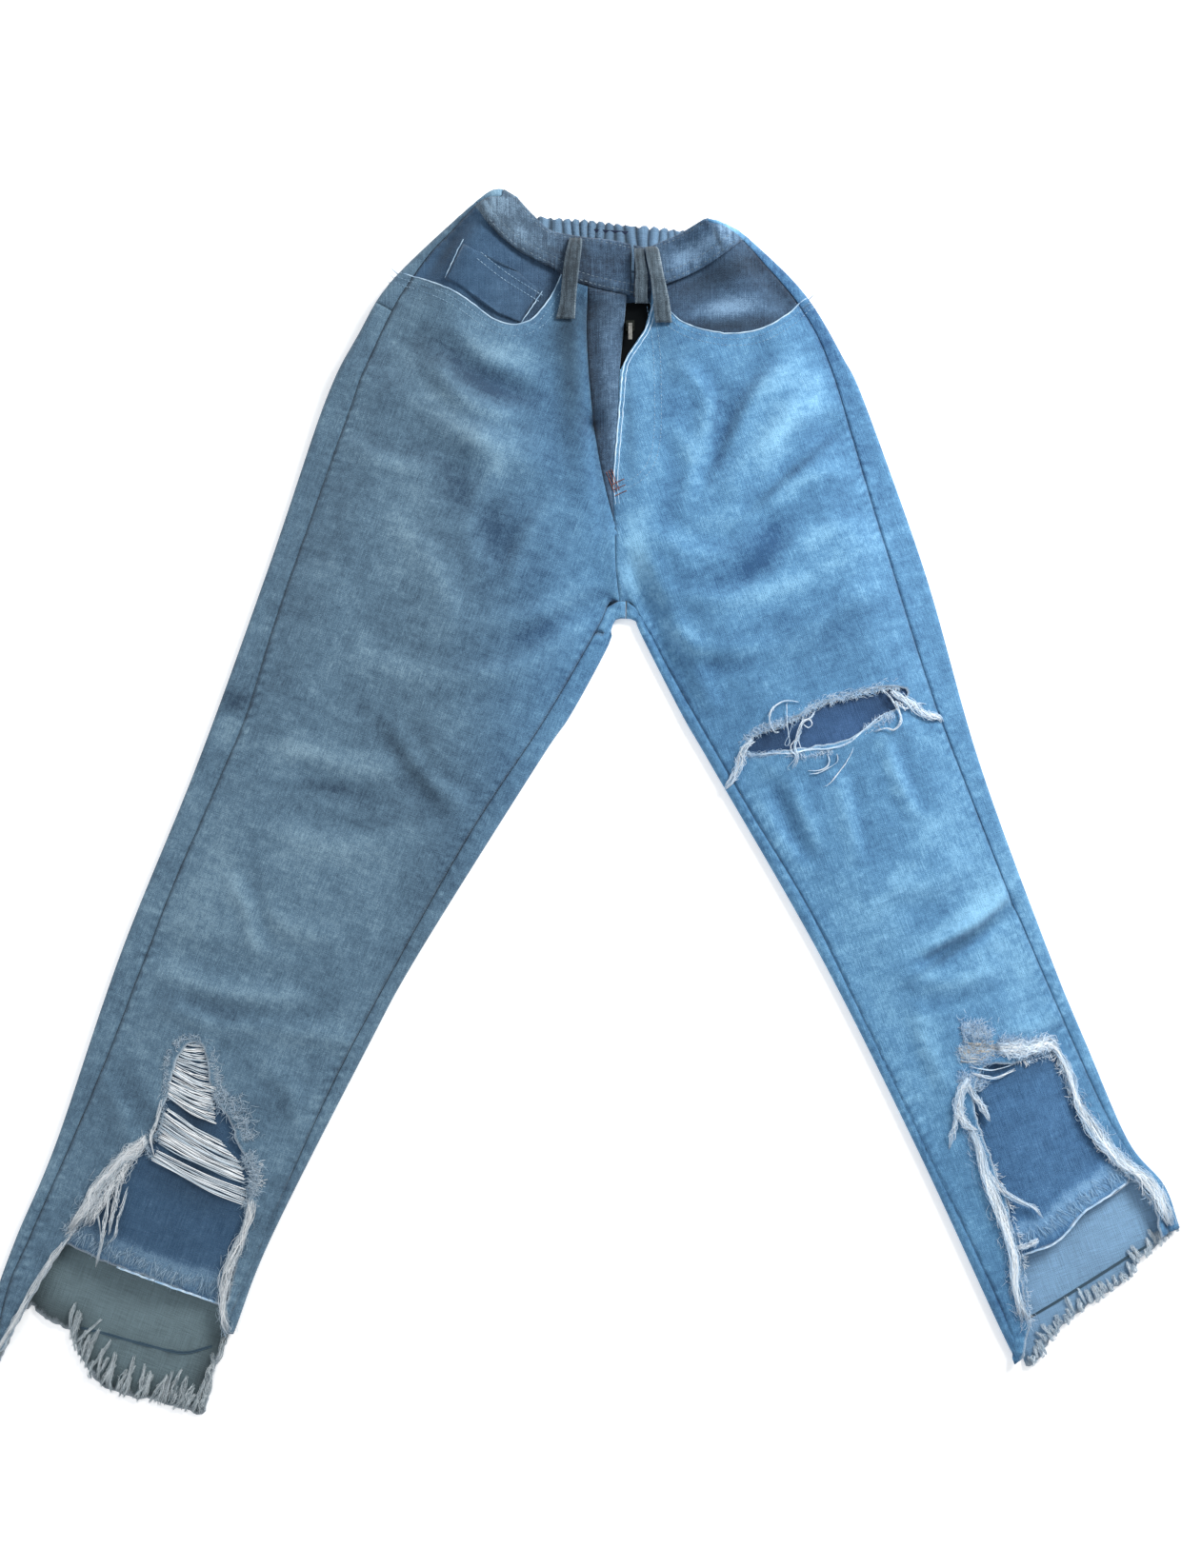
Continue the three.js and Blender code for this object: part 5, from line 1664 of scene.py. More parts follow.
class Loose:
    """Works out the paths of threads over the cloth."""

    def __init__(self, relief: Relief, ground: bool = False) -> None:
        """Holds the relief that they lie on, or the back layer on the ground."""
        self.relief = relief
        self.ground = ground

    def rest(self, paths: Array, above: Array) -> Array:
        """Gives plan paths their height above the cloth."""
        n, k, _ = paths.shape
        if self.ground:
            return np.concatenate([paths, np.broadcast_to(above + HEM_TOP, (n, k))[..., None]], 2)
        z = self.relief.height(paths.reshape(-1, 2), fine=False).reshape(n, k)
        return np.concatenate([paths, (z + above)[..., None]], 2)

    @staticmethod
    def bent(base: Array, way: Array, size: Array, t: Array, bend: Array) -> Array:
        """Plan paths of short threads.

        Args:
            base: where each starts.
            way: its direction.
            size: its length.
            t: how far along it each of its points is, as a share of the length.
            bend: how far each of its points is moved to the left, as a share of the length.

        Returns:
            The paths, as threads x points x 2.
        """
        paths = base[:, None] + way[:, None] * (t * size[:, None])[..., None]
        return paths + left_of(way)[:, None] * (bend * size[:, None])[..., None]

    def tassel(self, t: Tassel) -> Sheet:
        """The threads of a bundle."""
        rng = np.random.default_rng(100 + t.seed)
        p = np.array(t.points, float)
        k = t.steps
        where = np.linspace(0, len(p) - 1, k)
        middle = np.column_stack([catmull(column, where) for column in p.T])
        normal = left_of(unit(np.gradient(middle[:, :2], axis=0)))
        s = np.linspace(0, 1, k)
        uneven = 1 + 0.32 * np.sin(s * rng.uniform(14, 22) + rng.uniform(0, 6)) * np.sin(s * 7.3 + t.seed)
        short = (rng.random(t.count) < t.short)[:, None]
        low = np.where(short, rng.random((t.count, 1)) * 0.75, rng.uniform(0, 0.08, (t.count, 1)))
        high = np.where(short, low + rng.uniform(0.12, 0.3, (t.count, 1)),
                        1 - rng.random((t.count, 1)) * 0.12)
        at = low + (np.minimum(high, 1.0) - low) * s
        width = t.width / 2 * (t.tip + (1 - t.tip) * np.sin(np.pi * np.clip(0.12 + at * 0.88, 0, 1)) ** 0.7)
        width = width * np.interp(at, s, uneven)
        far = np.sqrt(rng.random((t.count, 1)))
        turn = rng.uniform(0, 2 * np.pi, (t.count, 1)) + 2 * np.pi * t.twist * at
        wave = 0.26 * np.sin(s * rng.uniform(3, 13, (t.count, 1)) + rng.uniform(0, 6, (t.count, 1)))
        ends = rng.uniform(-1.5, 1.5, (t.count, 2))
        slanted = ends[:, :1] + (ends[:, 1:] - ends[:, :1]) * s
        across = (np.where(short, slanted, far * np.cos(turn)) + wave) * width
        over = (1.1 + np.where(short, 0.9, far * np.sin(turn))) * np.minimum(width, 1.6) * 0.7
        place = [np.interp(at, s, column) for column in (*middle.T, *normal.T)]
        paths = np.stack([place[0] + across * place[3], place[1] + across * place[4]], -1)
        made = strands(self.rest(paths, place[2] + over), t.radius, 3, 0.5, t.seed)
        # Threads on top of a bundle, near its middle, are made lighter: a painted highlight.
        deep = np.clip(1 - (np.abs(across) / np.maximum(width, 0.3)) ** 2, 0, 1) * (over > over.mean())
        tone = made.marks["tone"] * 0.75 + 0.3 * deep.reshape(-1).repeat(3) - 0.05
        made.marks["tone"] = np.clip(tone, 0, 1)
        return made

    def fringe(self, f: Fringe) -> Sheet:
        """The threads along an edge."""
        rng = np.random.default_rng(300 + f.seed)
        line = Curve(f.points, 1.0)
        length = gaps(line.points)
        total = float(length.sum())
        n = max(4, int(total * f.dense))
        at = np.sort(rng.random(n)) * total
        grid = np.concatenate([[0], np.cumsum(length)])
        clump = 0.5 + 0.5 * np.sin(at / 2.3 + 2 * np.sin(at / 7.1))
        base = np.column_stack([np.interp(at, grid, line.points[:, c]) for c in (0, 1)])
        normals = line.normals() * f.way
        normal = np.column_stack([np.interp(at, grid, normals[:, c]) for c in (0, 1)])
        angle = np.radians(f.slant + rng.normal(0, f.spread, n) + 14 * np.sin(at / 3.1))
        c, s = np.cos(angle), np.sin(angle)
        way = np.column_stack([normal[:, 0] * c - normal[:, 1] * s, normal[:, 0] * s + normal[:, 1] * c])
        reach = rng.uniform(*f.length, n) * (0.55 + 0.6 * clump)
        t = np.linspace(ROOT_SHARE, 1, 7)
        bend = rng.normal(0, f.curl, n)[:, None] * t**2
        paths = self.bent(base, way, reach, t, bend)
        arch = np.sin(np.pi * np.clip(t * 0.7 + 0.2, 0, 1))
        above = f.lift * rng.uniform(0.3, 1.5, n)[:, None] * arch - 0.3
        return strands(self.rest(paths, above), f.radius, 3, 0.4, f.seed)

    def fuzz(self, f: Fuzz) -> Sheet:
        """The fibres of a teased band."""
        rng = np.random.default_rng(500 + f.seed)
        line = Curve(f.points, 1.0)
        pick = rng.integers(0, len(line.points), f.count)
        normal = line.normals()[pick]
        tangent = np.column_stack([normal[:, 1], -normal[:, 0]])
        base = line.points[pick] + normal * (rng.normal(0, f.width / 2.6, f.count))[:, None]
        angle = rng.uniform(-np.pi, np.pi, f.count) * (1 - f.along)
        c, s = np.cos(angle)[:, None], np.sin(angle)[:, None]
        way = tangent * c + normal * s
        t = np.linspace(-0.5, 0.5, 5)
        size = f.length * rng.uniform(0.5, 1.3, f.count)
        bend = rng.normal(0, 0.7, f.count)[:, None] * (t**2 - 0.1)
        bend = bend + rng.normal(0, 0.5, f.count)[:, None] * t**3
        paths = self.bent(base, way, size, t, bend)
        above = f.lift * rng.random(f.count)[:, None] * (0.4 + 0.9 * np.cos(t * 2.6)) + 0.1
        return strands(self.rest(paths, above), f.radius, 3, 0.4, f.seed)

    def weft(self, w: Weft) -> Sheet:
        """The bare threads across a tear."""
        rng = np.random.default_rng(700 + w.seed)
        starts, ends = [], []
        for (a, b, count), (c, d, _) in zip(w.rungs, w.rungs[1:], strict=False):
            count = int(count * WEFT_DENSITY)
            for share in np.linspace(0, 1, count, endpoint=True) if count else ():
                share += rng.normal(0, 0.35 / count)
                starts.append(np.array(a) + (np.array(c) - a) * share + rng.normal(0, 0.5, 2))
                ends.append(np.array(b) + (np.array(d) - b) * share + rng.normal(0, 0.9, 2))
        a, b = np.array(starts), np.array(ends)
        t = np.linspace(0, 1, 16)[None, :, None]
        paths = a[:, None] + (b - a)[:, None] * t
        n = len(a)
        drop = w.sag * (0.6 + 0.5 * rng.random((n, 1))) * np.sin(np.pi * t[..., 0])
        wave = 0.45 * np.sin(t[..., 0] * rng.uniform(5, 13, (n, 1)) + rng.uniform(0, 6, (n, 1)))
        paths[..., 1] -= drop + wave
        above = rng.uniform(-1.0, 0.5, (n, 1)) + 0.4 * np.sin(t[..., 0] * 9 + rng.uniform(0, 6, (n, 1)))
        return strands(self.rest(paths, above), rng.uniform(0.26, 0.48, n), 4, 0.8, w.seed)

    def rolled(self, line: Array, radius: float, above: float = 0.0, seed: int = 0) -> Sheet:
        """A turned edge, as a thin uneven roll along a line."""
        rng = np.random.default_rng(900 + seed)
        paths = line[None] + rng.normal(0, 0.16, (1, len(line), 2))
        z = self.relief.height(line)[None] + above - 0.25 * radius
        made = strands(np.concatenate([paths, z[..., None]], 2), radius, 6, 0.5, seed)
        made.marks["tone"] = np.clip(rng.normal(0.5, 0.3, len(line)).repeat(6), 0, 1)
        return made

    def stitches(self, line: Array, above: float | Callable[[Array], Array] = 0.0, pitch: float = 3.2,
                 radius: float = 0.32, seed: int = 0) -> Sheet:
        """A row of stitches along a line.

        Args:
            line: the points that the row follows.
            above: the height of the cloth there over the front's upper face.
            pitch: from one stitch to the next.
            radius: half a thread's thickness.
            seed: the seed of the tones.

        Returns:
            The stitches.
        """
        grid = np.concatenate([[0], np.cumsum(gaps(line))])
        starts = np.arange(0, grid[-1] - pitch, pitch)
        t = np.linspace(0.08, 0.86, 5)
        at = starts[:, None] + t * pitch
        paths = np.stack([np.interp(at, grid, line[:, c]) for c in (0, 1)], -1)
        lift = np.array([-0.25, 0.1, 0.2, 0.1, -0.25])
        flat = paths.reshape(-1, 2)
        z = self.relief.height(flat).reshape(at.shape)
        extra = above(flat).reshape(at.shape) if callable(above) else above
        return strands(np.concatenate([paths, (z + extra + lift)[..., None]], 2), radius, 4, 0.7, seed)


KNEE_THREADS = (
    Tassel(((133, 35, 0.2), (124, 26, 0.8), (121, 14, 0.6), (115, 2, 0.5), (109, -6, 0.1)), 6.0, 46, 0.15,
        0.3, seed=1),
    Tassel(((243, 74, 0.3), (250, 70, 1.6), (260, 64, 1.6), (272, 55, 1.2), (283, 54, 1.0),
        (287, 49, 0.2)), 6.2, 54, 1.3, 0.45, seed=2),
    Tassel(((247, 66, 0.5), (256, 60, 1.5), (264, 64, 1.5)), 4.0, 16, 0.3, seed=3),
    Tassel(((250, 68, 1.0), (262, 65, 1.6), (277, 64, 0.4)), 1.0, 6, 0.6, seed=4),
    Tassel(((171, 64, 0.3), (159, 66, 1.6), (149, 61, 2.2), (145, 53, 2.2), (146, 46, 1.6),
        (150, 40, 1.0), (154, 42, 0.8)), 1.8, 12, 0.8, 0.6, seed=5),
    Tassel(((160, 67, 0.3), (159, 58, 1.6), (159, 49, 1.6), (160, 41, 1.2), (161, 33, 1.0),
        (159, 29, 1.0), (157, 31, 1.0), (160, 37, 1.6), (163, 46, 0.4)), 1.0, 5, 0.5, 0.8, seed=6),
    Tassel(((182, 58, 0.4), (179, 52, 1.8), (172, 49, 2.2), (169, 43, 2.0), (167, 35, 1.6),
        (165, 28, 1.4), (167, 22, 1.6), (166, 16, 1.4), (163, 10, 0.3)), 2.6, 16, 0.6, 0.4, seed=7),
    Tassel(((169, 44, 1.4), (165, 33, 1.4), (162, 29, 1.6), (162, 25, 1.6), (166, 21, 1.6),
        (164, 16, 1.2), (159, 11, 0.3), (163, 9, 0.3)), 1.2, 7, 0.6, 0.7, seed=8),
    Tassel(((171, 47, 2.0), (174, 50, 2.6), (178, 50, 2.6), (179, 46, 2.4), (176, 44, 2.2),
        (172, 47, 2.0)), 1.3, 7, 1.0, 0.8, seed=9),
    Tassel(((168, 42, 1.2), (168, 35, 1.2), (171, 25, 0.3)), 1.0, 5, 0.4, seed=10),
    Tassel(((191, 23, 0.3), (193, 17, 1.2), (191, 12, 1.0), (184, 9, 0.8), (175, 9, 0.2)), 1.1, 7, 0.8,
        seed=11),
    Tassel(((199, 23, 0.3), (199, 16, 1.2), (190, 10, 1.0), (184, 7, 0.8), (175, 6, 0.2)), 1.1, 7, 0.8,
        seed=12),
    Tassel(((213, 28, 0.3), (208, 18, 1.2), (201, 8, 1.0), (194, -1, 0.8), (187, -5, 0.2)), 1.3, 8, 0.8,
        seed=13),
    Tassel(((236, 76, 0.4), (243, 69, 1.8), (248, 60, 1.8), (251, 52, 1.8), (249, 45, 1.6),
        (244, 41, 1.4), (238, 43, 1.2), (227, 39, 0.3)), 2.2, 12, 0.7, 0.5, seed=14),
    Fuzz(((124, 30), (131, 39), (145, 45), (161, 50), (176, 58)), 5.0, 420, 6.0, 0.55, seed=1),
    Fuzz(((176, 58), (186, 64), (207, 70), (223, 73), (240, 79), (250, 79)), 5.0, 520, 7.0, 0.7, seed=2),
    Fuzz(((127, 24), (134, 22), (151, 24), (163, 22)), 2.0, 160, 8.0, 0.85, seed=3),
    Fuzz(((166, 21), (176, 21), (195, 24)), 3.4, 160, 4.0, 0.2, seed=4),
    Fuzz(((222, 42), (233, 48), (245, 54)), 4.5, 150, 6.0, 0.5, seed=5),
    Fringe(((124, 31), (134, 40), (161, 49), (186, 63), (223, 73), (252, 78)), -1, 1.2, (2, 5), 0, 30,
        seed=1),
)

KNEE_ROLL = Tassel(
    ((128, 22, 0.0), (151, 24, 0.3), (163, 23, 0.3), (176, 26, 0.3), (195, 27, 0.3), (208, 31, 0.3),
     (218, 39, 0.3), (233, 52, 0.3), (247, 59, 0.0)), 1.5, 18, 2.5, 0.8, seed=20)

RIGHT_SHIN_THREADS = (
    Weft((((-328, -211), (-305, -213), 9), ((-330, -220), (-300, -228), 8), ((-332, -229), (-298, -243),
        10), ((-335, -241), (-299, -255), 12), ((-335, -251), (-296, -272), 0), ((-335, -260),
        (-292, -286), 10), ((-339, -267), (-279, -301), 8), ((-341, -275), (-275, -309), 10),
        ((-342, -286), (-274, -318), 0), ((-342, -293), (-273, -324), 12), ((-347, -299), (-271, -337),
        0)), 2.2, 1),
    Weft((((-332, -206), (-304, -209), 5), ((-331, -212), (-303, -216), 0)), -1.0, 2),
    Fuzz(((-330, -209), (-318, -205), (-304, -211)), 4.0, 130, 8.0, 0.6, 1.4, seed=11),
    Fuzz(((-303, -215), (-297, -236), (-293, -250)), 6.0, 170, 8.0, 0.3, seed=12),
    Fuzz(((-298, -250), (-284, -258), (-275, -270), (-272, -284)), 12.0, 420, 8.0, 0.15, seed=13),
    Fuzz(((-335, -215), (-337, -240), (-339, -262), (-343, -285)), 3.6, 240, 6.0, 0.5, seed=14),
    Fuzz(((-272, -296), (-266, -306), (-267, -322), (-270, -338)), 7.0, 420, 8.0, 0.25, 1.6, seed=15),
    Fringe(((-263, -300), (-263, -316), (-266, -336)), 1, 1.6, (3, 8), 0, 34, seed=16),
    Fuzz(((-346, -280), (-352, -286), (-347, -297)), 4.0, 120, 6.0, 0.3, seed=17),
    Tassel(((-340, -252, 0.2), (-343, -270, 0.8), (-347, -283, 0.8), (-344, -297, 0.2)), 3.0, 18, 0.4,
        seed=21),
    Tassel(((-350, -282, 0.0), (-358, -291, 1.0), (-368, -298, 1.2), (-378, -309, 1.2), (-388, -321, 1.2),
        (-394, -333, 1.0), (-402, -344, 0.8), (-410, -356, 0.3)), 9.0, 150, 0.1, 0.6, seed=22),
    Tassel(((-356, -286, 0.0), (-366, -303, 0.6), (-376, -318, 0.4), (-386, -334, 0.2),
        (-398, -352, 0.2)), 10.0, 110, 0.1, 0.5, seed=23),
    Tassel(((-376, -311, 0.6), (-379, -329, 0.8), (-380, -343, 0.6), (-382, -354, 0.8), (-384, -367, 0.4),
        (-388, -383, -0.8)), 3.4, 22, 0.5, 0.35, seed=24),
    Tassel(((-364, -320, 0.6), (-368, -337, 0.6), (-371, -346, 0.8), (-373, -358, 0.8),
        (-380, -366, 0.3)), 2.2, 14, 0.5, 0.35, seed=25),
    Tassel(((-370, -312, 0.6), (-373, -330, 0.4), (-376, -345, 0.6), (-378, -358, 0.4)), 3.8, 24, 0.3,
        0.4, seed=26),
    Tassel(((-387, -322, 0.6), (-388, -337, 0.8), (-385, -353, 0.8), (-384, -370, 0.3)), 1.2, 7, 0.5,
        seed=27),
    Fuzz(((-366, -296), (-380, -312), (-394, -332), (-410, -356)), 9.0, 380, 9.0, 0.75, 1.4, seed=18),
    Fringe(((-350, -281), (-376, -304), (-400, -340), (-416, -362)), 1, 1.4, (3, 8), 40, 24, seed=19),
    Tassel(((-267, -330, 0.2), (-269, -345, 0.8), (-275, -362, 0.8), (-283, -380, 0.6), (-288, -400, 0.5),
        (-288, -420, 0.5), (-284, -434, 0.2)), 6.5, 90, 0.6, 0.6, seed=28),
    Fuzz(((-268, -335), (-275, -362), (-285, -384), (-289, -410), (-285, -434)), 6.0, 460, 8.0, 0.8, 1.2,
        seed=20),
    Fringe(((-264, -312), (-272, -343), (-281, -383), (-286, -408), (-287, -430)), 1, 1.3, (2, 6), 55, 22,
        seed=21),
    Fringe(((-352, -290), (-371, -312), (-389, -336), (-412, -364), (-436, -401), (-458, -442)), -1, 0.9,
        (2, 5), -40, 22, seed=22),
    Tassel(((-412, -362, 0.2), (-425, -380, 0.6), (-440, -404, 0.5), (-455, -432, 0.4),
        (-474, -462, 0.1)), 4.0, 50, 0.6, 0.5, seed=29),
)

LEFT_SHIN_THREADS = (
    Fuzz(((296, -200), (306, -198), (318, -204)), 11.0, 420, 7.0, 0.15, 1.4, seed=31),
    Fuzz(((295, -214), (306, -220), (320, -216)), 9.0, 260, 10.0, 0.7, 1.0, seed=32),
    Tassel(((300, -227, 0.3), (310, -229, 0.6), (320, -230, 0.6), (336, -226, 0.2)), 1.1, 8, 0.6, 0.8,
        seed=31),
    Tassel(((302, -232, 0.3), (312, -235, 0.6), (322, -236, 0.6), (338, -229, 0.2)), 2.0, 14, 0.6, 0.8,
        seed=32),
    Tassel(((322, -213, 0.0), (336, -213, 1.2), (350, -213, 1.4), (364, -209, 1.2), (374, -213, 0.4)),
        11.0, 150, 0.2, 0.6, seed=33),
    Fuzz(((326, -210), (345, -213), (365, -209)), 11.0, 620, 9.0, 0.5, 1.6, seed=33),
    Fringe(((332, -222), (348, -223), (370, -217)), -1, 1.2, (2, 5), 30, 26, seed=34),
    Tassel(((366, -208, 0.2), (375, -220, 0.8), (382, -236, 0.8), (387, -256, 0.8), (396, -274, 0.8)),
        5.5, 80, 0.5, 0.7, seed=34),
    Tassel(((386, -256, 0.4), (399, -276, 1.0), (411, -292, 1.2), (423, -304, 1.2), (434, -311, 1.0),
        (447, -325, 0.8), (454, -340, 0.6), (459, -352, 0.2)), 9.5, 190, 0.4, 0.7, seed=35),
    Fringe(((372, -217), (382, -240), (388, -258), (400, -280), (419, -304), (434, -318), (447, -336)),
        -1, 1.5, (3, 8), 40, 20, seed=35),
    Fuzz(((376, -222), (388, -256), (402, -278), (420, -300), (440, -318), (455, -342)), 8.0, 640, 9.0,
        0.7, 1.4, seed=36),
    Tassel(((300, -236, 0.2), (294, -247, 1.2), (292, -261, 1.4), (297, -272, 1.0), (306, -277, 0.3)),
        7.0, 80, 0.3, 0.4, seed=36),
    Tassel(((295, -258, 0.8), (289, -273, 1.0), (284, -293, 0.2)), 4.5, 40, 0.4, 0.15, seed=37),
    Tassel(((299, -240, 0.3), (304, -250, 0.6), (311, -260, 0.6), (316, -271, 0.2)), 5.0, 44, 0.2, 0.35,
        seed=38),
    Fuzz(((292, -236), (304, -238), (311, -244)), 8.0, 260, 7.0, 0.2, 1.5, seed=37),
    Tassel(((300, -274, 0.3), (307, -290, 1.0), (310, -306, 1.0), (315, -322, 1.0), (323, -342, 1.0),
        (329, -360, 0.8), (333, -378, 0.8), (333, -396, 0.8), (337, -412, 0.6), (341, -426, 0.2)), 7.0,
        150, 0.7, 0.6, seed=39),
    Fuzz(((302, -276), (310, -304), (322, -340), (332, -372), (335, -400), (342, -430)), 8.0, 720, 8.0,
        0.7, 1.3, seed=38),
    Fringe(((304, -262), (308, -290), (322, -314), (333, -345), (340, -380), (345, -430)), 1, 1.2, (2, 6),
        -50, 22, seed=39),
    Tassel(((312, -305, 0.6), (318, -316, 0.8), (326, -325, 0.6), (338, -332, 0.6), (349, -337, 0.4),
        (356, -345, -0.4)), 3.6, 34, 0.7, 0.4, seed=40),
    Tassel(((334, -368, 0.4), (343, -366, 0.8), (352, -361, 0.2)), 4.0, 40, 0.2, 0.8, seed=41),
)


CREAM_THREADS = (
    Weft((((296, -206), (320, -206), 6), ((293, -214), (323, -213), 7), ((294, -224), (323, -221), 0)),
        2.0, 3),
    Fuzz(((298, -214), (310, -215), (321, -213)), 8.0, 160, 8.0, 0.7, 0.8, seed=51),
)


def tufts(line: Sequence[Point], lean: float, length: Point, each: int, seed: int) -> list[Tassel]:
    """Clumps of threads side by side along a torn hem.

    Args:
        line: the hem's torn edge.
        lean: the direction in which they hang, in degrees from +X.
        length: shortest and longest.
        each: threads in a clump.
        seed: the seed.

    Returns:
        The clumps.
    """
    rng = np.random.default_rng(seed)
    points = Curve(line, 1.0).points
    out, i = [], 2
    while i < len(points) - 2:
        size = rng.uniform(*length)
        a = math.radians(lean + rng.normal(0, 11))
        way = np.array((math.cos(a), math.sin(a)))
        end = points[i] + way * rng.uniform(-2, 4)
        start = end - way * size
        middle = (start + end) / 2 + rng.normal(0, 0.9, 2)
        out.append(Tassel(((*start, 0.0), (*middle, 1.0), (*end, 0.2)), float(rng.uniform(2.0, 5.0)),
                          each, 0.2, 0.5, 0.17, int(rng.integers(1e6)), 0.2, 9))
        i += int(rng.uniform(2.4, 5.6))
    return out


def joined(parts: Sequence[Sheet]) -> Sheet:
    """Several meshes as one."""
    out = parts[0]
    for sheet in parts[1:]:
        out = out.joined(sheet)
    return out


def thread_piece(loose: Loose, parts: Iterable[Tassel | Fringe | Fuzz | Weft]) -> Sheet:
    """All the threads of one tear as one mesh."""
    build = {Tassel: loose.tassel, Fringe: loose.fringe, Fuzz: loose.fuzz, Weft: loose.weft}
    return joined([build[type(part)](part) for part in parts])


class Trim:
    """The loose threads at the tears and hems, and the stitching."""

    def __init__(self, tailor: Tailor, front: Front) -> None:
        """Holds who places the pieces, and the front whose edges they follow."""
        self.tailor = tailor
        self.front = front
        self.loose = Loose(tailor.relief)

    def tears(self) -> None:
        """The threads at the three tears."""
        place = self.tailor.place
        for name, parts, tint in (
            ("knee", (*KNEE_THREADS, KNEE_ROLL), "blue"),
            ("right_shin", RIGHT_SHIN_THREADS, "grey"),
            ("left_shin", LEFT_SHIN_THREADS, "blue"),
        ):
            fluff = [part for part in parts if isinstance(part, Fuzz)]
            rest = [part for part in parts if not isinstance(part, Fuzz)]
            place(f"{name}_threads", thread_piece(self.loose, rest), f"yarn_{tint}", Slot.DENIM)
            place(f"{name}_fluff", thread_piece(self.loose, fluff), f"fluff_{tint}", Slot.DENIM)
        place("cream_threads", thread_piece(self.loose, CREAM_THREADS), "yarn_cream", Slot.DENIM)

    def hems(self) -> None:
        """The tufts at the torn hems, and the fraying lower edges of the shin patches."""
        low = Loose(self.tailor.relief, ground=True)
        right = tufts(HEM_RIGHT[4:9], -108, (15, 32), 24, 1) + tufts(HEM_RIGHT[8:-1], -100, (9, 22), 20, 2)
        self.tailor.place("right_hem_threads", thread_piece(low, right), "yarn_hem_right", Slot.DENIM)
        left = tufts(HEM_LEFT[:-1], -62, (7, 16), 22, 3)
        self.tailor.place("left_hem_threads", thread_piece(low, left), "yarn_hem_left", Slot.DENIM)
        for name, line, slant in (("right", LOWER_BANDS[0], -8.0), ("left", LOWER_BANDS[1], 8.0)):
            fringe = (Fringe(line, -1, 1.6, (6, 13), slant, 13, 0.15, 0.3, 0.2, 41),
                      Fringe(line, -1, 0.7, (-9, -3), slant, 16, 0.15, 0.3, 0.18, 42))
            made = thread_piece(self.loose, fringe)
            made.points[:, 2] -= 0.9
            self.tailor.place(f"{name}_patch_fringe", made, f"yarn_patch_{name}", Slot.PATCH)

    def rows(self) -> None:
        """The topstitching, the rolled edges and the bar tack at the foot of the fly."""
        loose, front, place = self.loose, self.front, self.tailor.place
        whole = front.whole()
        fly = Curve(((47, 398), (52, 360), (53, 320), (52, 284), (46, 262), (34, 250), (22, 247)), 3.0)
        rows = [loose.stitches(fly.moved(off), seed=3, radius=0.24) for off in (0.0, 5.5)]
        for k, edge in enumerate(front.pockets):
            rows += [loose.stitches(edge.moved(-off)[1:-1], seed=k + 9, radius=0.24) for off in (5.2, 10.4)]
        coin = Curve(((-91, 439), (-64, 422), (-38, 406)), 3.0)
        rows += [loose.stitches(coin.moved(off), -1.7, seed=7) for off in (0.0, -6.0)]
        place("topstitching", joined(rows), "stitch", Slot.DENIM)
        rows = []
        for line, way, offsets in ((front.band_top, -1, ROWS[0]), (front.band_seam, 1, ROWS[1])):
            for k, off in enumerate(offsets):
                points = line.moved(way * off)
                points = points[inside(points, whole) & inside(points, front.band_edge.points)]
                rows.append(loose.stitches(points, front.band_lift, 3.9, 0.36, seed=k))
        place("band_stitching", joined(rows), "stitch_band", Slot.DENIM)
        edges = [loose.rolled(edge.moved(-0.5)[1:-1], 0.75, seed=k) for k, edge in enumerate(front.pockets)]
        coin_sides = (((-105, 450), (-113, 436), (-121, 420)), ((-40, 411), (-49, 397), (-58, 383)))
        for k, line in enumerate(coin_sides):
            edges.append(loose.rolled(Curve(line, 3.0).points, 0.5, -1.8, seed=k + 4))
        place("pocket_edges", joined(edges), "edge", Slot.DENIM)
        flap = Curve(((52, 402), (50, 394), (45, 378), (32, 358), (26, 343), (24, 320), (22, 296),
                      (18.5, 251), (20, 226)), 3.0)
        edges = [loose.rolled(flap.moved(off)[1:-1], radius, seed=9)
                 for off, radius in ((0.9, 0.75), (3.9, 0.45))]
        place("fly_edges", joined(edges), "edge_bright", Slot.DENIM)
        for side, points in (
            ("right", ((-372, -383), (-361, -387), (-330, -398), (-285, -415))),
            ("left", ((333, -377), (350, -371), (365, -365), (378, -353), (389, -341), (408, -330),
                      (425, -319))),
        ):
            line = Curve(points, 3.0)
            edge = [loose.rolled(line.moved(off), radius, -1.6, seed=3)
                    for off, radius in ((0.0, 0.5), (0.8, 0.3))]
            place(f"{side}_patch_edge", joined(edge), "edge_bright", Slot.PATCH)
        bars = (((13, 257), (20, 238)), ((15, 258), (22, 239)), ((17, 259), (24, 240)),
                ((19, 241), (29, 245)), ((18, 246), (28, 250)), ((20, 236), (30, 240)))
        tack = [loose.stitches(np.array(bar, float), 0.3, 1.5, 0.4, seed=k) for k, bar in enumerate(bars)]
        place("bar_tack", joined(tack), "rust", Slot.DENIM)


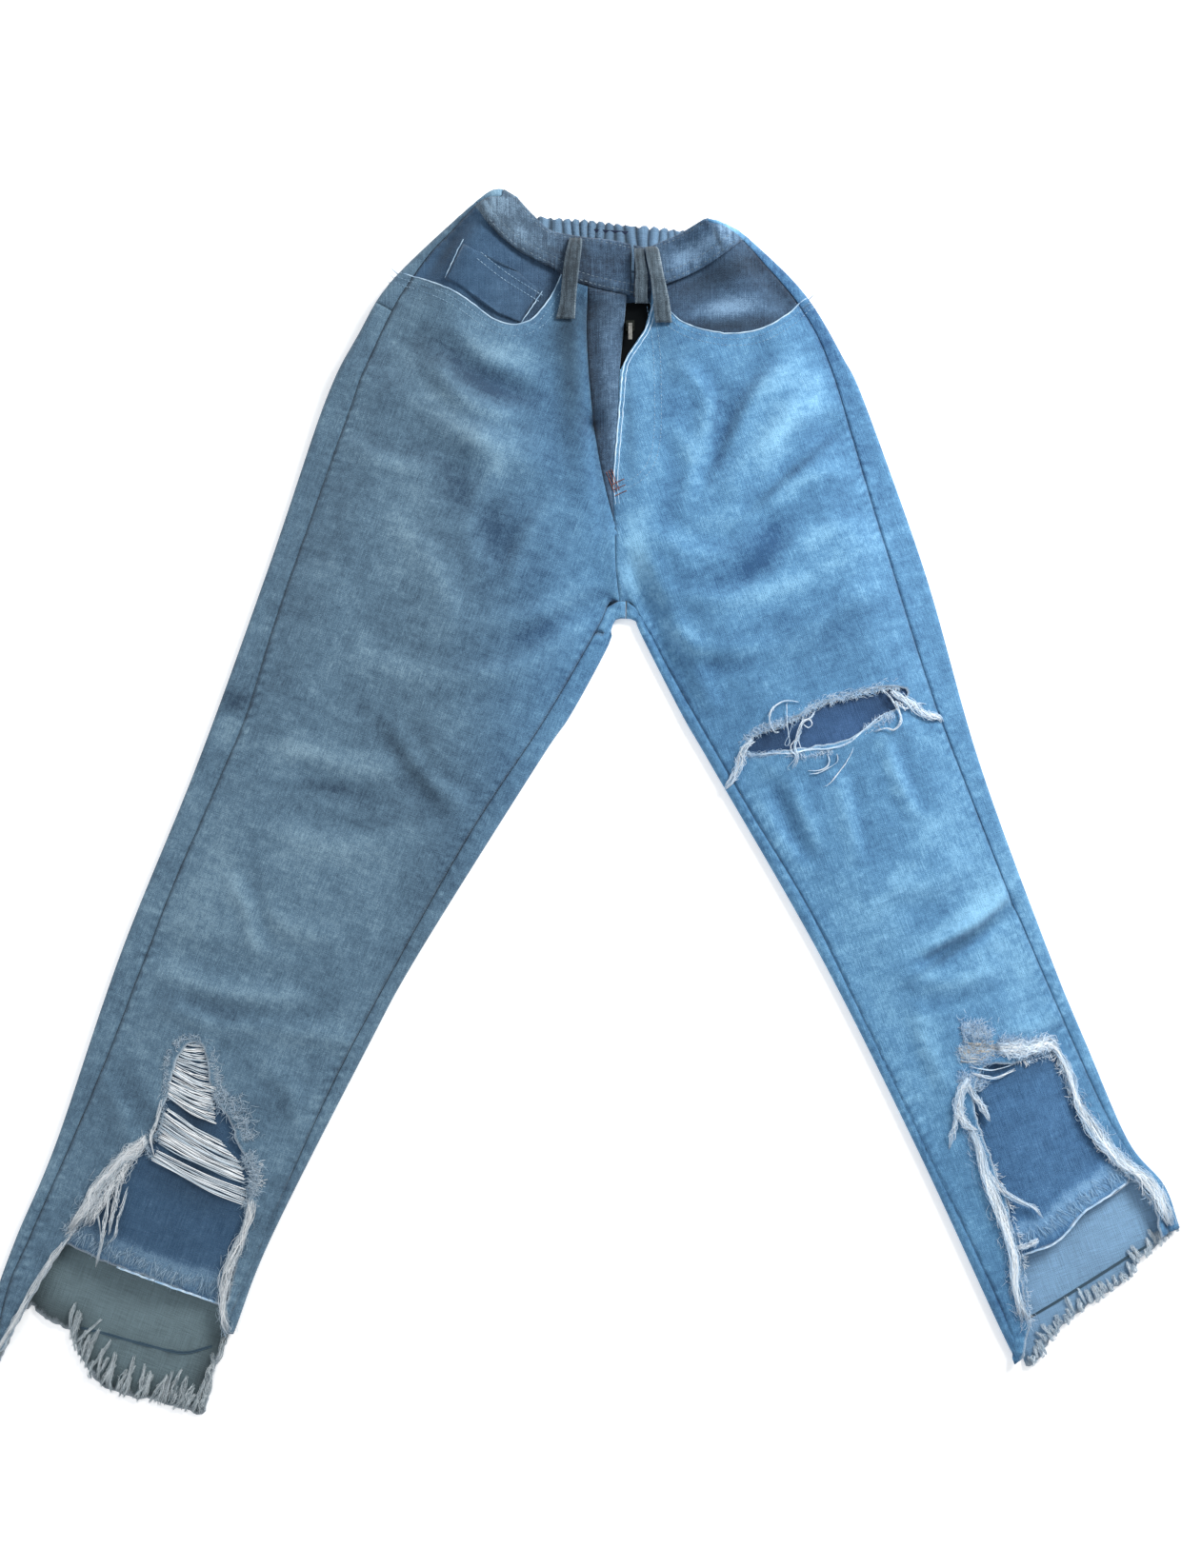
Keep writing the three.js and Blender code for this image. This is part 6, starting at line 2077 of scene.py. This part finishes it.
# ------------------------------------------------------------------ light, floor and camera
class Studio:
    """A pale floor with soft light, and the camera above."""

    def build(self) -> None:
        """Makes the floor, the lights, the world and the camera."""
        floor = Graph("floor_finish")
        floor.shade(Base_Color=grey(0.93), Roughness=0.9, Emission_Color=grey(1.0), Emission_Strength=0.3)
        mesh = bpy.data.meshes.new("floor")
        mesh.from_pydata([(-3, -3, 0), (3, -3, 0), (3, 3, 0), (-3, 3, 0)], [], [(0, 1, 2, 3)])
        mesh.materials.append(floor.material)
        ground = add_object("floor", mesh)
        self.light("key", (1.15, 1.05, 1.0), 0.6, 40.0, (1.0, 0.99, 0.97))
        self.light("fill", (-1.1, -0.2, 1.4), 1.6, 8.0, (0.96, 0.98, 1.0))
        world = bpy.data.worlds.new("world")
        bpy.context.scene.world = world
        world.use_nodes = True
        sky = world.node_tree.nodes["Background"].inputs
        sky["Color"].default_value = (0.93, 0.96, 1.0, 1.0)
        sky["Strength"].default_value = 0.52
        bpy.context.scene.view_settings.view_transform = "Standard"
        self.camera()

    @staticmethod
    def light(name: str, at: Point3, size: float, power: float, colour: Point3) -> None:
        """A square light that faces the garment."""
        lamp = bpy.data.lights.new(name, "AREA")
        lamp.size, lamp.energy, lamp.color = size, power, colour
        thing = add_object(name, lamp)
        thing.location = at
        thing.rotation_mode = "QUATERNION"
        thing.rotation_quaternion = (-Vector(at)).to_track_quat("-Z", "Y")

    @staticmethod
    def camera() -> None:
        """The camera, nearly straight above."""
        lens = bpy.data.cameras.new("camera")
        lens.lens, lens.sensor_width = 35.0, 36.0
        thing = add_object("camera", lens)
        thing.location = CAMERA_PLACE
        thing.rotation_euler = (math.radians(CAMERA_TILT), 0, 0)
        bpy.context.scene.camera = thing


def finishes() -> dict[str, bpy.types.Material]:
    """Every finish, by name."""
    looks = {
        "denim": Denim("washed_denim", SHADED_BLUE_GREY, LIT_BRIGHT_BLUE, 1.0),
        "dark": Denim("band_denim", SHADED_DARK_GREY, LIT_DARK_BLUE, 0.9, 0.8),
        "band_inside": Denim("gathered_denim", SHADED_BLUE_GREY, LIT_BRIGHT_BLUE, 1.0,
                             inside=((108, 134, 156), (112, 142, 170))),
        "loop": Denim("loop_denim", LOOP_GREY, LOOP_GREY, 0.9, 0.7),
        "facing": Denim("facing_denim", SHADED_PATCH_GREY, LIT_DARK_BLUE, 0.7),
        "patch": Denim("patch_denim", SHADED_PATCH_GREY, LIT_PATCH_BLUE, 0.6, 0.8),
        "slash": Denim("knee_denim", SLASH_BLUE, SLASH_BLUE, 0.5, 0.8),
        "yarn_grey": Yarn("grey_yarn", (176, 192, 204), (253, 254, 254)),
        "yarn_blue": Yarn("blue_yarn", (184, 216, 242), (254, 255, 255)),
        "yarn_cream": Yarn("cream_yarn", (160, 158, 156), (232, 226, 216)),
        "fluff_grey": Yarn("grey_fluff", (126, 156, 180), (214, 228, 238)),
        "fluff_blue": Yarn("blue_fluff", (130, 178, 220), (226, 240, 250)),
        "edge": Yarn("rolled_edge", (122, 154, 182), (190, 214, 232)),
        "edge_bright": Yarn("fly_edge", (150, 190, 222), (216, 234, 248)),
        # dark thread that also stands for the shade of the fold at the hem's stitching
        "hem_line": Yarn("hem_line", (58, 78, 92), (84, 106, 122)),
        "rust": Yarn("rust_thread", (104, 62, 56), (164, 104, 88)),
        "yarn_hem_right": Yarn("right_hem_yarn", (118, 138, 148), (236, 243, 246)),
        "yarn_hem_left": Yarn("left_hem_yarn", (150, 180, 204), (242, 249, 252)),
        "yarn_patch_right": Yarn("right_patch_yarn", (94, 128, 156), (182, 206, 224)),
        "yarn_patch_left": Yarn("left_patch_yarn", (104, 152, 194), (178, 212, 236)),
        "stitch": Yarn("stitching", (104, 138, 168), (158, 186, 208)),
        "stitch_band": Yarn("band_stitching", (78, 96, 110), (132, 150, 164)),
        "tape": Plain("zip_tape", (10, 13, 15), 0.95),
        "label": Plain("label_cloth", (40, 48, 68)),
        "slider": Brass("slider_metal", (58, 62, 58)),
        "pull": Brass("pull_metal", (196, 196, 190)),
    }
    return {name: look.material() for name, look in looks.items()}


def dress_zip(frame: dict, looks: dict[str, bpy.types.Material]) -> None:
    """Gives the slider and its pull their metal."""
    for name in ("slider", "pull"):
        node = frame["nodes"][f"zip_{name}"]
        node.data.materials.clear()
        node.data.materials.append(looks[name])


def main() -> None:
    """Builds the garment and its studio."""
    logging.basicConfig(level=logging.INFO, format="%(message)s")
    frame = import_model()
    tailor = Tailor(Relief(), finishes())
    front, back = Front(tailor), Back(tailor)
    front.panels()
    front.band()
    front.under()
    back.panel("right", HEM_RIGHT, HEM_STITCH_RIGHT, RIGHT_LEG)
    back.panel("left", HEM_LEFT, HEM_STITCH_LEFT, LEFT_LEG)
    back.yoke_half("right")
    back.yoke_half("left")
    back.band()
    back.pockets()
    Loops(tailor).all()
    trim = Trim(tailor, front)
    trim.tears()
    trim.hems()
    trim.rows()
    dress_zip(frame, tailor.finishes)
    Studio().build()


if __name__ == "__main__":
    main()
